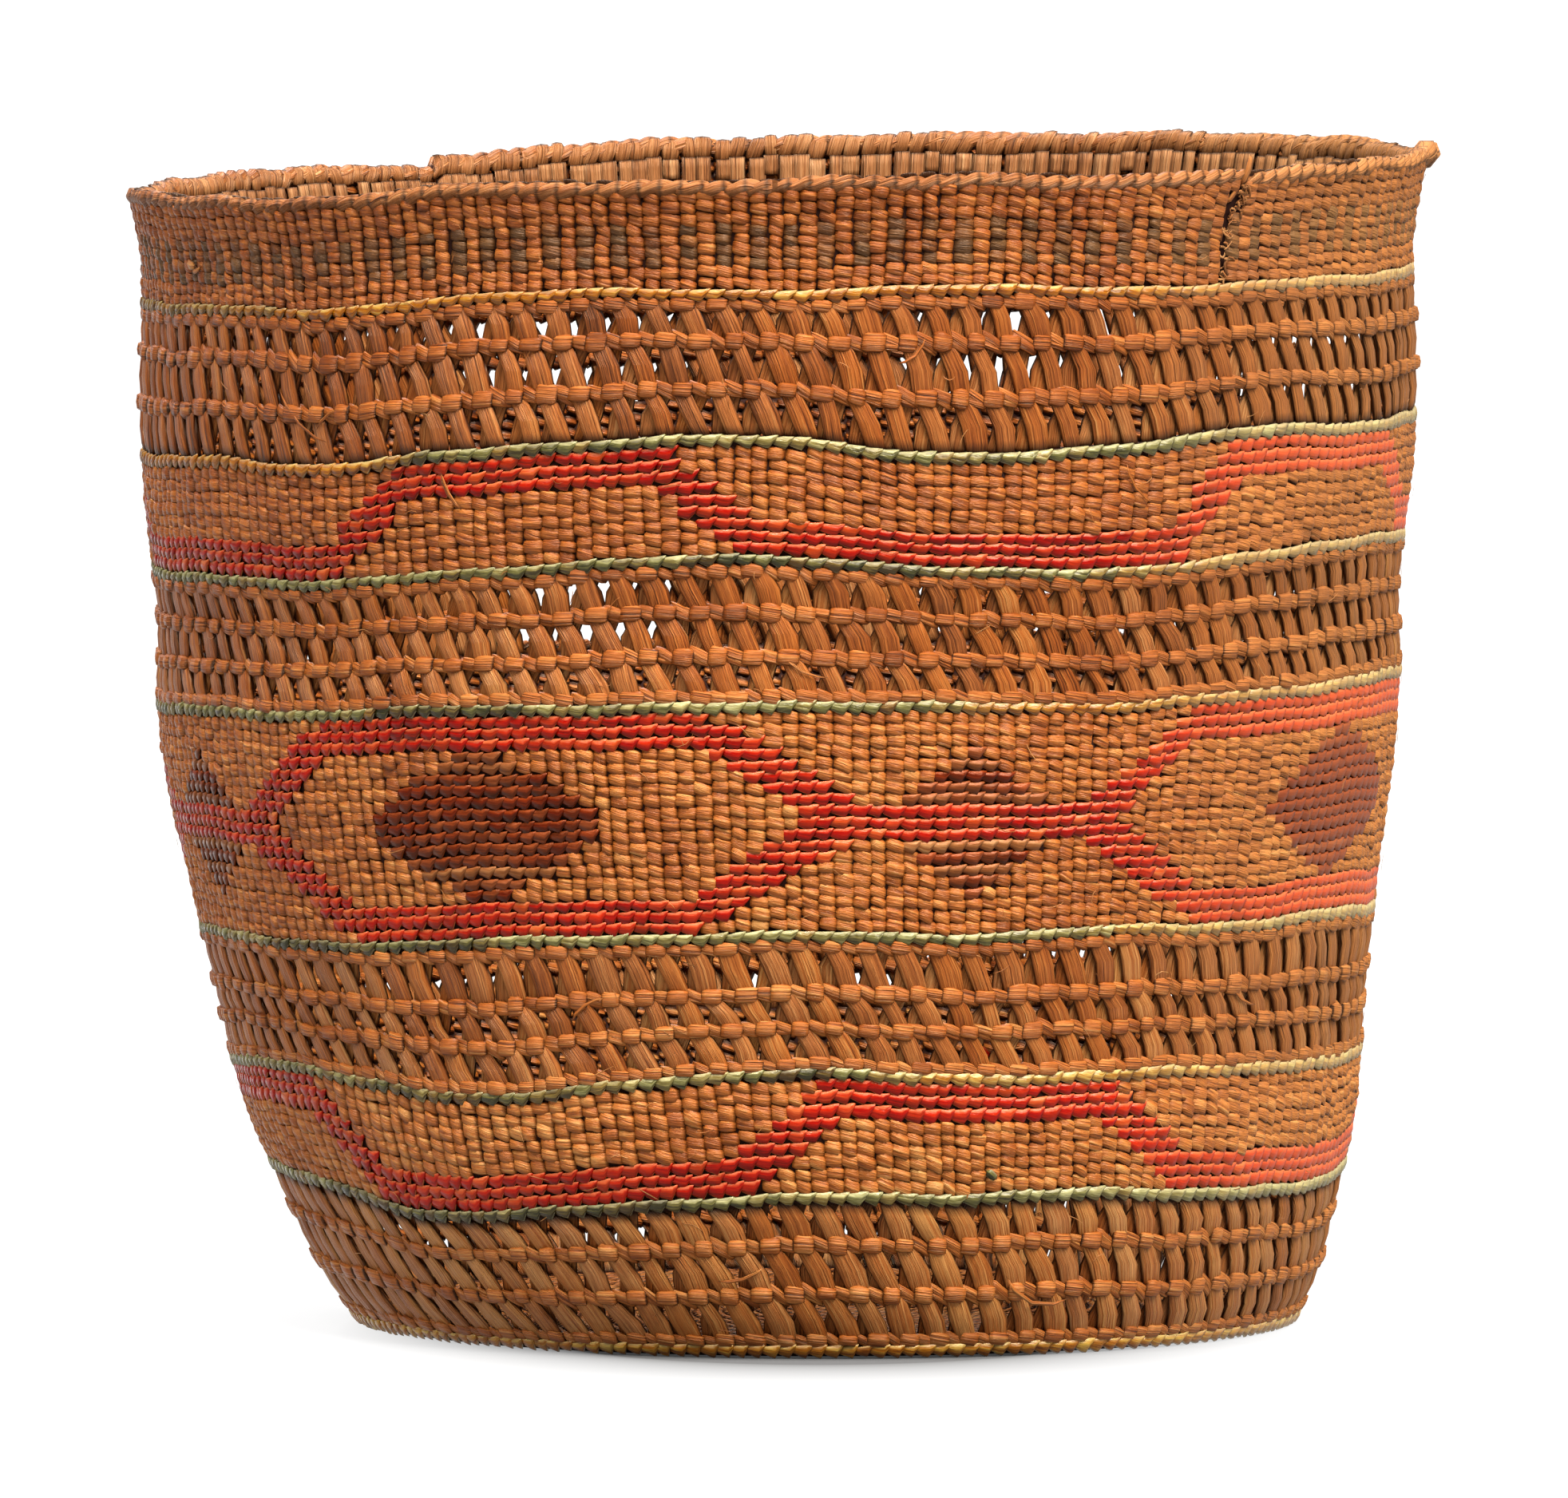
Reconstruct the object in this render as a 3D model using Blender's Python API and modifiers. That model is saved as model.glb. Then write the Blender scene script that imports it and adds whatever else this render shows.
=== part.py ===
"""An openwork basket of twined root: close-twined bands with dyed grass figures, crossed-warp openwork
between them, a rope rim and a flat base. Metres, +Z up, front towards -Y, origin under the base's centre.

Every piece is first made on a round, level basket. settle() then moves its points to where the worn basket
has them: the wall leans to the left, and the rows sag there."""
import math

import bmesh
import bpy
import numpy as np

# Overall form
BODY_RADIUS = 0.1118
OVAL_SHARE = 0.985
LEAN = 0.0085
LEAN_HEIGHT = 0.062
SAG = 0.006

# Heights of the sections, from the base up
BASE_THICKNESS = 0.0024
HEEL_LIFT = 0.0004
LINE_HEIGHT = 0.0019
FOOT_OPENWORK_HEIGHT = 0.0239
LOWER_BAND_HEIGHT = 0.0189
LOWER_OPENWORK_HEIGHT = 0.0227
MIDDLE_BAND_HEIGHT = 0.0378
UPPER_OPENWORK_HEIGHT = 0.0216
UPPER_BAND_HEIGHT = 0.0188
RIM_OPENWORK_HEIGHT = 0.0236
RIM_BAND_HEIGHT = 0.0172
ROPE_THICKNESS = 0.0029
WARP_END_HEIGHT = 0.009

# Thicknesses through the wall
BAND_THICKNESS = 0.0024
RIM_BAND_THICKNESS = 0.003
LINE_THICKNESS = 0.003
GRASS_THICKNESS = 0.0005
WEFT_THICKNESS = 0.001
WARP_THICKNESS = 0.0008
WARP_END_THICKNESS = 0.001

# Depth of the grooves between the twined rows of a band, and between the rings of the base
ROW_GROOVE_DEPTH = 0.0007
BASE_GROOVE_DEPTH = 0.0006

# Strands of the openwork
WEFT_HEIGHT = 0.0021
BEAD_HEIGHT = 0.0017
WARP_WIDTH = 0.0085
WARP_TRAVEL = 0.0089

# Clearances
ROW_GAP = 0.0004
LAYER_GAP = 0.0002
MERGE_DISTANCE = 0.0001

# Counts
RING_STEPS = 40
WARP_COUNT = 28
ROPE_SIDES = 6
MIDDLE_COLUMNS = 232
LOWER_COLUMNS = 212
UPPER_COLUMNS = 224
MIDDLE_ROWS = 19
BORDER_ROWS = 9
BASE_RINGS = 4

# Facets of a ring dip inside its true circle by this much, so layers keep it clear as well
FACET_DIP = BODY_RADIUS * (1 - math.cos(math.pi / RING_STEPS))
LAYER_CLEARANCE = LAYER_GAP + FACET_DIP

# Depths of the layers, inwards from the wall's outer face
BAND_DEPTH = GRASS_THICKNESS + LAYER_CLEARANCE
OUTER_WARP_DEPTH = WEFT_THICKNESS + LAYER_CLEARANCE
INNER_WARP_DEPTH = OUTER_WARP_DEPTH + WARP_THICKNESS + LAYER_CLEARANCE
WARP_END_DEPTH = RIM_BAND_THICKNESS + LAYER_CLEARANCE

# Colours, linear, and roughness of each strand
ROOT = ((0.50, 0.20, 0.055), 0.6)
DARK_ROOT = ((0.36, 0.13, 0.035), 0.65)
RED_GRASS = ((0.62, 0.03, 0.01), 0.35)
BROWN_GRASS = ((0.10, 0.022, 0.009), 0.3)
GREEN_GRASS = ((0.25, 0.29, 0.10), 0.4)
GOLD_GRASS = ((0.55, 0.29, 0.07), 0.4)

# The sections from the base up: name and clear height
SECTIONS = (
    ("heel_line", LINE_HEIGHT),
    ("foot_openwork", FOOT_OPENWORK_HEIGHT),
    ("grass_line_1", LINE_HEIGHT),
    ("lower_band", LOWER_BAND_HEIGHT),
    ("grass_line_2", LINE_HEIGHT),
    ("lower_openwork", LOWER_OPENWORK_HEIGHT),
    ("grass_line_3", LINE_HEIGHT),
    ("middle_band", MIDDLE_BAND_HEIGHT),
    ("grass_line_4", LINE_HEIGHT),
    ("upper_openwork", UPPER_OPENWORK_HEIGHT),
    ("grass_line_5", LINE_HEIGHT),
    ("upper_band", UPPER_BAND_HEIGHT),
    ("grass_line_6", LINE_HEIGHT),
    ("rim_openwork", RIM_OPENWORK_HEIGHT),
    ("grass_line_7", LINE_HEIGHT),
    ("rim_band", RIM_BAND_HEIGHT),
)


def stacked(sections):
    """Foot and top height of each section when they stand on each other."""
    spans = {}
    height = HEEL_LIFT
    for name, clear_height in sections:
        spans[name] = (height, height + clear_height)
        height += clear_height
    return spans


SPANS = stacked(SECTIONS)
WALL_HEIGHT = SPANS["rim_band"][1] + ROPE_THICKNESS

# The wall's outline: outer radius, as a share of the body radius, at shares of the wall's height
OUTLINE_HEIGHT_SHARES = (0, 0.04, 0.094, 0.178, 0.286, 0.395, 0.509, 0.563, 0.617, 0.731, 0.84, 0.894,
                         0.948, 1)
OUTLINE_RADIUS_SHARES = (0.737, 0.781, 0.819, 0.869, 0.901, 0.934, 0.968, 0.975, 0.973, 0.996, 1, 0.996,
                         1.002, 1.022)

# How far each level rows up or down round the basket, as shares of the sag, at angles from the front.
# The rows are for the base, the seven grass lines from the base up, and the rim.
STATION_ANGLES = (-90, -60, -45, -30, -15, 0, 15, 30, 45, 60, 90, 130, 180, 230)
SAG_SHARES = (
    (0, 0, 0, 0, 0, 0, 0, 0, 0, 0, 0, 0, 0, 0),
    (0.23, -0.03, -0.60, -0.37, -0.03, 0.18, 0.17, 0.22, -0.02, -0.17, 0.13, -0.10, 0.10, 0.10),
    (-0.25, -0.03, -0.37, -0.50, 0, 0.33, 0.20, 0.10, 0.12, 0, 0.07, 0.10, -0.10, 0.05),
    (-0.43, -0.47, -0.45, -0.13, -0.02, 0.23, 0.07, 0.17, 0.10, 0.23, 0.03, 0.10, 0.15, -0.10),
    (-0.63, -0.45, -0.40, -0.10, 0.02, 0.15, 0.05, 0, 0.17, 0.27, 0.53, 0.40, 0.10, -0.30),
    (-0.57, -0.60, -0.60, -0.17, 0.23, 0.32, -0.03, -0.10, 0.10, 0.40, 0.45, 0.35, 0.15, -0.30),
    (-0.73, -0.68, -0.75, -0.22, 0.15, 0.23, -0.25, -0.08, 0.30, 0.32, 0.50, 0.45, 0.20, -0.35),
    (-0.52, -0.55, -0.50, -0.12, 0.17, 0.10, 0.33, 0.13, 0.20, 0.33, 0.45, 0.50, 0.30, -0.20),
    (-0.75, -0.75, -0.75, -0.33, -0.20, -0.12, 0.10, -0.10, 0.08, 0.25, 0.42, 0.65, 0.50, -0.25),
)
SAG_SECTIONS = ("grass_line_1", "grass_line_2", "grass_line_3", "grass_line_4", "grass_line_5",
                "grass_line_6", "grass_line_7")

# Where the two weft rows cross each openwork, as shares of its height
WEFT_SHARES = {
    "foot_openwork": (0.36, 0.71),
    "lower_openwork": (0.32, 0.60),
    "upper_openwork": (0.33, 0.66),
    "rim_openwork": (0.34, 0.70),
}

# Which ends of an openwork's outer warps are bound by a bead row: at its foot, at its top
BEAD_ROWS = {
    "foot_openwork": (True, False),
    "lower_openwork": (True, True),
    "upper_openwork": (True, True),
    "rim_openwork": (False, True),
}

# The openworks whose wall bends so much that their warps need a point at half height
CURVED_OPENWORKS = ("foot_openwork", "upper_openwork")

# Upper runs of the two zigzags, as (centre angle, width) in degrees from the front
UPPER_RUNS = ((-103, 30), (-24, 26.2), (57.8, 28.4), (157, 26))
LOWER_RUNS = ((-161, 29), (-72.8, 29), (17.8, 30.4), (108, 29))
RUN_ROWS = 3

# How many columns each zigzag moves along in a row
UPPER_STEP = 0.78
LOWER_STEP = 1.05
LARGEST_STEP_ANGLE = 8.5

# The chain's hexagons: columns, counted from behind the basket, where each one starts and ends
HEXAGON_ENDS = ((77.7, 120.3), (134, 180.5), (193.7, 236.7), (250, 297))

# Corners of a hexagon's side: columns inwards from its end, and rows from the band's middle
CORNER_COLUMNS = (0, 3, 9)
OUTER_CORNER_ROWS = (1.5, 4.2, 9.5)
INNER_CORNER_ROWS = (0, 0, 6.5)
HEXAGON_STEPS = 5
RUN_STEPS = 2

# The diamond in each hexagon and the halved one in the run after it
DIAMOND_PLACES = (97.5, 157.2, 215.2, 273.5)
HALF_DIAMOND_PLACES = (127.5, 187.1, 243.3, 303.4)
DIAMOND_COLUMNS = 8
DIAMOND_ROWS = 6.3
HALF_DIAMOND_COLUMNS = 5
HALF_DIAMOND_FOOT_ROWS = 1.8
HALF_DIAMOND_TOP_ROWS = 5.6


def smooth(x, stations, values):
    """Read a smooth curve through the stations: cubic pieces whose slopes follow their neighbours."""
    slopes = np.gradient(values, stations)
    cell = np.clip(np.searchsorted(stations, x, side="right") - 1, 0, len(stations) - 2)
    width = stations[cell + 1] - stations[cell]
    t = (x - stations[cell]) / width
    start = values[cell] * (1 + 2 * t) + slopes[cell] * width * t
    end = values[cell + 1] * (3 - 2 * t) + slopes[cell + 1] * width * (t - 1)
    return start * (1 - t) ** 2 + end * t ** 2


def wall_radius(height):
    """Outer radius of the round basket's wall at a height."""
    radius_share = smooth(np.asarray(height) / WALL_HEIGHT, np.array(OUTLINE_HEIGHT_SHARES),
                          np.array(OUTLINE_RADIUS_SHARES))
    return BODY_RADIUS * radius_share


def sagged(angle, height):
    """How far a point at this angle and height is moved up or down on the worn basket."""
    turn = 2 * math.pi
    stations = np.radians(STATION_ANGLES)
    stations = np.concatenate((stations - turn, stations, stations + turn))
    rows = np.array([smooth(angle, stations, np.tile(shares, 3)) for shares in SAG_SHARES])
    levels = np.array([0] + [sum(SPANS[name]) / 2 for name in SAG_SECTIONS] + [WALL_HEIGHT])
    cell = np.clip(np.searchsorted(levels, height) - 1, 0, len(levels) - 2)
    t = (height - levels[cell]) / (levels[cell + 1] - levels[cell])
    points = np.arange(len(angle))
    return SAG * (rows[cell, points] * (1 - t) + rows[cell + 1, points] * t)


def mesh_points(mesh):
    """The mesh's points as an array."""
    points = np.empty(len(mesh.vertices) * 3)
    mesh.vertices.foreach_get("co", points)
    return points.reshape(-1, 3)


def polar(points):
    """Angle from the front, radius and height of each point."""
    x, y, z = points.T
    return np.arctan2(x, -y), np.hypot(x, y), z


def place(mesh, angle, radius, height):
    """Put the mesh's points at these angles, radii and heights of the round basket."""
    points = np.column_stack((radius * np.sin(angle), -radius * np.cos(angle), height))
    mesh.vertices.foreach_set("co", points.ravel())
    mesh.update()


def settle(piece):
    """Lean and sag a piece of the round, level basket into the worn one."""
    points = mesh_points(piece.data)
    angle, radius, height = polar(points)
    points[:, 0] -= LEAN * np.tanh(height / LEAN_HEIGHT)
    points[:, 1] *= OVAL_SHARE
    points[:, 2] += sagged(angle, height)
    piece.data.vertices.foreach_set("co", points.ravel())
    piece.data.update()


def applied(piece):
    """Turn a piece and its modifiers into a plain mesh."""
    drawn = piece.evaluated_get(bpy.context.evaluated_depsgraph_get())
    mesh = bpy.data.meshes.new_from_object(drawn)
    piece.modifiers.clear()
    piece.data = mesh
    mesh.name = piece.name
    return piece


def turned(name, profile, steps, closed=True):
    """Turn a profile of (radius, height) points once round the basket's axis, from the front."""
    mesh = bpy.data.meshes.new(name)
    edges = [(index, index + 1) for index in range(len(profile) - 1)]
    if closed:
        edges.append((len(profile) - 1, 0))
    mesh.from_pydata([(radius, 0, height) for radius, height in profile], edges, [])
    piece = bpy.data.objects.new(name, mesh)
    basket.objects.link(piece)
    screw = piece.modifiers.new("turn", "SCREW")
    screw.steps = steps
    screw.render_steps = steps
    screw.use_merge_vertices = True
    screw.merge_threshold = MERGE_DISTANCE
    applied(piece)
    return piece


def thicken(piece, thickness):
    """Give an open sheet its thickness, inwards from the face that points out."""
    solidify = piece.modifiers.new("thickness", "SOLIDIFY")
    solidify.thickness = thickness
    solidify.offset = -1
    solidify.use_even_offset = True
    applied(piece)


def finish(piece, strand):
    """Settle a piece into the worn basket, shade it and give it its own material."""
    settle(piece)
    piece.data.shade_smooth()
    piece.data.set_sharp_from_angle(angle=math.radians(40))
    colour, roughness = strand
    material = bpy.data.materials.new(piece.name)
    material.use_nodes = True
    shader = material.node_tree.nodes["Principled BSDF"]
    shader.inputs["Base Color"].default_value = (*colour, 1)
    shader.inputs["Roughness"].default_value = roughness
    shader.inputs["Metallic"].default_value = 0
    material.diffuse_color = (*colour, 1)
    piece.data.materials.clear()
    piece.data.materials.append(material)


def ring(name, foot, top, depth, thickness, divisions, strand, rows=0):
    """A closed ring of the wall between two heights, from a depth inwards, following the outline. Where it
    has twined rows, each is a rib between two grooves of the outer face."""
    heights = np.linspace(top, foot, divisions + 1)
    inner = [(wall_radius(height) - depth - thickness, height) for height in reversed(heights)]
    if rows:
        heights = np.linspace(top, foot, 2 * rows + 1)
    grooves = np.where(np.arange(len(heights)) % 2, 0, ROW_GROOVE_DEPTH if rows else 0)
    outer = [(wall_radius(height) - depth - groove, height) for height, groove in zip(heights, grooves)]
    piece = turned(name, outer + inner, RING_STEPS)
    finish(piece, strand)


def section_ring(name, depth, thickness, divisions, strand, rows=0):
    """The ring that fills a section, with half a row gap left free below and above it."""
    foot, top = SPANS[name]
    ring(name, foot + ROW_GAP / 2, top - ROW_GAP / 2, depth, thickness, divisions, strand, rows)


def base_disc():
    """The flat base inside the heel line. Its upper face dips between the rings of the twining."""
    heel_radius = wall_radius(SPANS["heel_line"][0]) - LINE_THICKNESS
    radius = heel_radius - LAYER_CLEARANCE
    foot_radius = radius - BASE_THICKNESS / 2
    places = np.linspace(0, radius, 2 * BASE_RINGS + 1)
    dips = np.where(np.arange(len(places)) % 2, BASE_GROOVE_DEPTH, 0)
    upper = [(place_radius, BASE_THICKNESS - dip) for place_radius, dip in zip(places, dips)]
    profile = upper + [(radius, BASE_THICKNESS / 2), (foot_radius, 0), (0, 0)]
    piece = turned("base_disc", profile, RING_STEPS, closed=False)
    finish(piece, DARK_ROOT)


def rim_rope():
    """The rope that binds the rim, as a plain round ring on top of the rim band."""
    half = (ROPE_THICKNESS - ROW_GAP) / 2
    middle_height = WALL_HEIGHT - half
    middle_radius = wall_radius(middle_height) - half
    angles = [2 * math.pi * side / ROPE_SIDES for side in range(ROPE_SIDES)]
    profile = [(middle_radius + half * math.cos(angle), middle_height - half * math.sin(angle))
               for angle in angles]
    piece = turned("rim_rope", profile, RING_STEPS)
    finish(piece, ROOT)


def turned_warp_ends():
    """The warp ends, folded down inside the rim band as a lining."""
    top = SPANS["rim_band"][1] - ROW_GAP
    ring("turned_warp_ends", top - WARP_END_HEIGHT, top, WARP_END_DEPTH, WARP_END_THICKNESS, 1, ROOT)


def warp_levels(section, thickness, bead_at_foot, bead_at_top):
    """Heights where the warps of an openwork change, from foot to top. A sheet that leans outwards rises
    at its inner face as it is thickened, so its top is lowered by as much."""
    foot, top = SPANS[section]
    slope = (wall_radius(top) - wall_radius(foot)) / (top - foot)
    foot += ROW_GAP / 2
    top -= ROW_GAP / 2 + thickness * max(slope, 0)
    levels = [foot]
    if bead_at_foot:
        levels.append(foot + BEAD_HEIGHT)
    if section in CURVED_OPENWORKS:
        levels.append((foot + top) / 2)
    if bead_at_top:
        levels.append(top - BEAD_HEIGHT)
    levels.append(top)
    return np.array(levels)


def warp_cage(name, section, depth, thickness, travel, bead_at_foot, bead_at_top):
    """One slant of an openwork's warps, fused to the bead rows that bind them. Each warp here stands for
    a few real ones lying side by side: a strip that travels round the basket as it rises. The cage is a
    turned sheet whose cells between the warps are taken out, thickened inwards."""
    levels = warp_levels(section, thickness, bead_at_foot, bead_at_top)
    profile = [(wall_radius(height) - depth, height) for height in reversed(levels)]
    piece = turned(name, profile, 2 * WARP_COUNT, closed=False)
    step = math.pi / WARP_COUNT
    open_foot = levels[1] if bead_at_foot else levels[0]
    open_top = levels[-2] if bead_at_top else levels[-1]
    cage = bmesh.new()
    cage.from_mesh(piece.data)
    gaps = []
    for face in cage.faces:
        middle = face.calc_center_median()
        column = math.floor(math.atan2(middle.x, -middle.y) / step)
        if column % 2 and open_foot < middle.z < open_top:
            gaps.append(face)
    bmesh.ops.delete(cage, geom=gaps, context="FACES")
    cage.to_mesh(piece.data)
    cage.free()
    angle, radius, height = polar(mesh_points(piece.data))
    column = np.rint(angle / step)
    half_width = WARP_WIDTH / 2 / radius
    centre = (column - column % 2) * step
    rise = (height - levels[0]) / (levels[-1] - levels[0])
    side = np.where(column % 2, 1, -1)
    place(piece.data, centre + side * half_width - travel / radius * rise, radius, height)
    thicken(piece, thickness)
    finish(piece, ROOT)


def openwork(section):
    """Two slants of crossed warps and two weft rows over them."""
    prefix = section.replace("openwork", "")
    bead_at_foot, bead_at_top = BEAD_ROWS[section]
    warp_cage(prefix + "outer_warps", section, OUTER_WARP_DEPTH, WARP_THICKNESS, WARP_TRAVEL,
              bead_at_foot, bead_at_top)
    warp_cage(prefix + "inner_warps", section, INNER_WARP_DEPTH, WARP_THICKNESS, -WARP_TRAVEL,
              bead_at_foot, not bead_at_foot)
    foot, top = SPANS[section]
    for place_name, share in zip(("low", "high"), WEFT_SHARES[section]):
        middle = foot + share * (top - foot)
        ring(prefix + "weft_" + place_name, middle - WEFT_HEIGHT / 2, middle + WEFT_HEIGHT / 2, 0,
             WEFT_THICKNESS, 1, ROOT)


def grass_strip(name, top_angles, bottom_angles, top_heights, bottom_heights):
    """An open strip of grass round the wall, with its corners at these angles and heights."""
    steps = len(top_angles)
    high, low = BODY_RADIUS, 0
    piece = turned(name, [(BODY_RADIUS, high), (BODY_RADIUS, low)], steps, closed=False)
    angle, radius, height = polar(mesh_points(piece.data))
    station = np.rint(angle / (2 * math.pi / steps)).astype(int) % steps
    upper = height > high / 2
    new_angle = np.where(upper, top_angles[station], bottom_angles[station])
    new_height = np.where(upper, top_heights[station], bottom_heights[station])
    place(piece.data, new_angle, wall_radius(new_height), new_height)
    return piece


def row_height(section, rows, row):
    """Height of a row edge of a band, counted down from its top, kept clear of its neighbours."""
    foot, top = SPANS[section]
    height = top - (top - foot) * np.asarray(row) / rows
    return np.clip(height, foot + ROW_GAP / 2, top - ROW_GAP / 2)


def zigzag(name, section, runs, columns, step):
    """A zigzag of grass three rows high that joins upper and lower runs by steps of so many columns a row."""
    column = step * 360 / columns
    drop = BORDER_ROWS - RUN_ROWS
    corners = []
    for centre, width in sorted(runs):
        for side in (-1, 1):
            end = side * width / 2
            fall = side * drop * column
            lower = (centre + end + fall, -side * column, drop)
            upper = (centre + end, -side * column, 0)
            corners += [lower, upper] if side < 0 else [upper, lower]
    corners.append((corners[0][0] + 360, corners[0][1], corners[0][2]))
    stations = []
    for start, end in zip(corners, corners[1:]):
        pieces = math.ceil((end[0] - start[0]) / LARGEST_STEP_ANGLE)
        for index in range(pieces):
            share = index / pieces
            stations.append([a + (b - a) * share for a, b in zip(start, end)])
    angles, skews, rows = np.array(stations).T
    piece = grass_strip(name, np.radians(angles), np.radians(angles + skews),
                        row_height(section, BORDER_ROWS, rows),
                        row_height(section, BORDER_ROWS, rows + RUN_ROWS))
    thicken(piece, GRASS_THICKNESS)
    finish(piece, RED_GRASS)


def middle_row_height(row):
    """Height of a row of the middle band, counted up from the band's middle."""
    return row_height("middle_band", MIDDLE_ROWS, MIDDLE_ROWS / 2 - row)


def middle_angle(column):
    """Angle from the front of a column of the middle band, counted from behind the basket."""
    return 2 * math.pi * np.asarray(column) / MIDDLE_COLUMNS - math.pi


def chain_columns():
    """Columns of the chain's points: the corners of each hexagon and even steps between them."""
    corners = np.array(CORNER_COLUMNS)
    following = HEXAGON_ENDS[1:] + ((HEXAGON_ENDS[0][0] + MIDDLE_COLUMNS, 0),)
    columns = []
    for (start, end), (next_start, _) in zip(HEXAGON_ENDS, following):
        across = np.linspace(start + corners[-1], end - corners[-1], HEXAGON_STEPS + 1)
        run = np.linspace(end, next_start, RUN_STEPS + 1)
        columns += [start + corners[:-1], across, (end - corners[:-1])[::-1], run[1:-1]]
    return np.concatenate(columns)


def red_chain():
    """The chain of hexagons: an upper and a lower strip that meet between the hexagons."""
    columns = chain_columns()
    inside = np.max([np.minimum(columns - start, end - columns) for start, end in HEXAGON_ENDS], axis=0)
    outer = np.interp(inside, CORNER_COLUMNS, OUTER_CORNER_ROWS)
    inner = np.interp(inside, CORNER_COLUMNS, INNER_CORNER_ROWS)
    angles = middle_angle(columns)
    piece = grass_strip("middle_red_chain", angles, angles, middle_row_height(outer),
                        middle_row_height(inner))
    lower = grass_strip("lower_strip", angles, angles, middle_row_height(-inner),
                        middle_row_height(-outer))
    chain = bmesh.new()
    chain.from_mesh(piece.data)
    chain.from_mesh(lower.data)
    bmesh.ops.remove_doubles(chain, verts=chain.verts, dist=MERGE_DISTANCE)
    chain.to_mesh(piece.data)
    chain.free()
    bpy.data.objects.remove(lower)
    thicken(piece, GRASS_THICKNESS)
    finish(piece, RED_GRASS)


def diamond(name, centre, half_columns, foot_row, top_row):
    """A diamond of brown grass, or half of one: pointed at both sides where its two row edges meet."""
    bpy.ops.mesh.primitive_grid_add(x_subdivisions=6, y_subdivisions=2, size=2)
    piece = bpy.context.object
    piece.name = name
    for other in piece.users_collection:
        other.objects.unlink(piece)
    basket.objects.link(piece)
    across, up, flat = mesh_points(piece.data).T
    level = (foot_row + top_row) / 2
    level = level if foot_row * top_row < 0 else min(foot_row, top_row, key=abs)
    reach = np.where(up > 0, top_row - level, level - foot_row) * (1 - np.abs(across))
    height = middle_row_height(level + up * reach)
    angle = middle_angle(centre + across * half_columns)
    place(piece.data, angle, wall_radius(height), height)
    sheet = bmesh.new()
    sheet.from_mesh(piece.data)
    bmesh.ops.remove_doubles(sheet, verts=sheet.verts, dist=MERGE_DISTANCE)
    bmesh.ops.recalc_face_normals(sheet, faces=sheet.faces)
    sheet.to_mesh(piece.data)
    sheet.free()
    thicken(piece, GRASS_THICKNESS)
    finish(piece, BROWN_GRASS)


def brown_diamonds():
    """A diamond inside each hexagon, and one halved by the red run after it."""
    for figure, (whole, halved) in enumerate(zip(DIAMOND_PLACES, HALF_DIAMOND_PLACES)):
        number = str(figure + 1)
        diamond("brown_diamond_" + number, whole, DIAMOND_COLUMNS, -DIAMOND_ROWS, DIAMOND_ROWS)
        diamond("upper_half_diamond_" + number, halved, HALF_DIAMOND_COLUMNS, HALF_DIAMOND_FOOT_ROWS,
                HALF_DIAMOND_TOP_ROWS)
        diamond("lower_half_diamond_" + number, halved, HALF_DIAMOND_COLUMNS, -HALF_DIAMOND_TOP_ROWS,
                -HALF_DIAMOND_FOOT_ROWS)


for old in list(bpy.data.objects):
    bpy.data.objects.remove(old)
basket = bpy.data.collections.new("openwork_basket")
bpy.context.scene.collection.children.link(basket)

base_disc()
section_ring("heel_line", 0, LINE_THICKNESS, 1, GOLD_GRASS)
for line in (1, 2, 3, 4, 5, 6):
    section_ring("grass_line_" + str(line), 0, LINE_THICKNESS, 1, GREEN_GRASS)
section_ring("grass_line_7", 0, LINE_THICKNESS, 1, GOLD_GRASS)
section_ring("lower_band", BAND_DEPTH, BAND_THICKNESS, 2, ROOT, BORDER_ROWS)
section_ring("middle_band", BAND_DEPTH, BAND_THICKNESS, 4, ROOT, MIDDLE_ROWS)
section_ring("upper_band", BAND_DEPTH, BAND_THICKNESS, 2, ROOT, BORDER_ROWS)
section_ring("rim_band", 0, RIM_BAND_THICKNESS, 2, ROOT, BORDER_ROWS)
rim_rope()
turned_warp_ends()
for part in WEFT_SHARES:
    openwork(part)
zigzag("lower_red_zigzag", "lower_band", LOWER_RUNS, LOWER_COLUMNS, LOWER_STEP)
zigzag("upper_red_zigzag", "upper_band", UPPER_RUNS, UPPER_COLUMNS, UPPER_STEP)
red_chain()
brown_diamonds()
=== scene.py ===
"""Looks of an openwork basket of twined root with dyed grass figures. Metres, +Z up, front towards -Y.

Every strand is first laid out on a round, level basket, as an angle from the front, a height and a depth
inwards from the wall's outer face. worn() then moves the points to where the used basket has them."""

import math

import bpy
import numpy as np
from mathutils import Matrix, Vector


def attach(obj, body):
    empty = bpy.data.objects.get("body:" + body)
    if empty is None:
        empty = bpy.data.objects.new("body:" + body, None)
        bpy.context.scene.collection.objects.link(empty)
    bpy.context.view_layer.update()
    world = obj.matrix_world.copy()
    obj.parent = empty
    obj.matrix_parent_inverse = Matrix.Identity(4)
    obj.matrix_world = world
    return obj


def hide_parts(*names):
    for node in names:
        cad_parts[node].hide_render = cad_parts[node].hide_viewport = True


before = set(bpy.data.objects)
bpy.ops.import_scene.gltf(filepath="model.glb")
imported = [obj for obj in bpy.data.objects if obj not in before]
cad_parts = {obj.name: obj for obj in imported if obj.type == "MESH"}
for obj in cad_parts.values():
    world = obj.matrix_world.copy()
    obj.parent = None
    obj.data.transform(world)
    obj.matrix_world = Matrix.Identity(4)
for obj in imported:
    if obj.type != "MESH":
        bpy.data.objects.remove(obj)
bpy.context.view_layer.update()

MM = 0.001
TURN = 2 * math.pi

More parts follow.
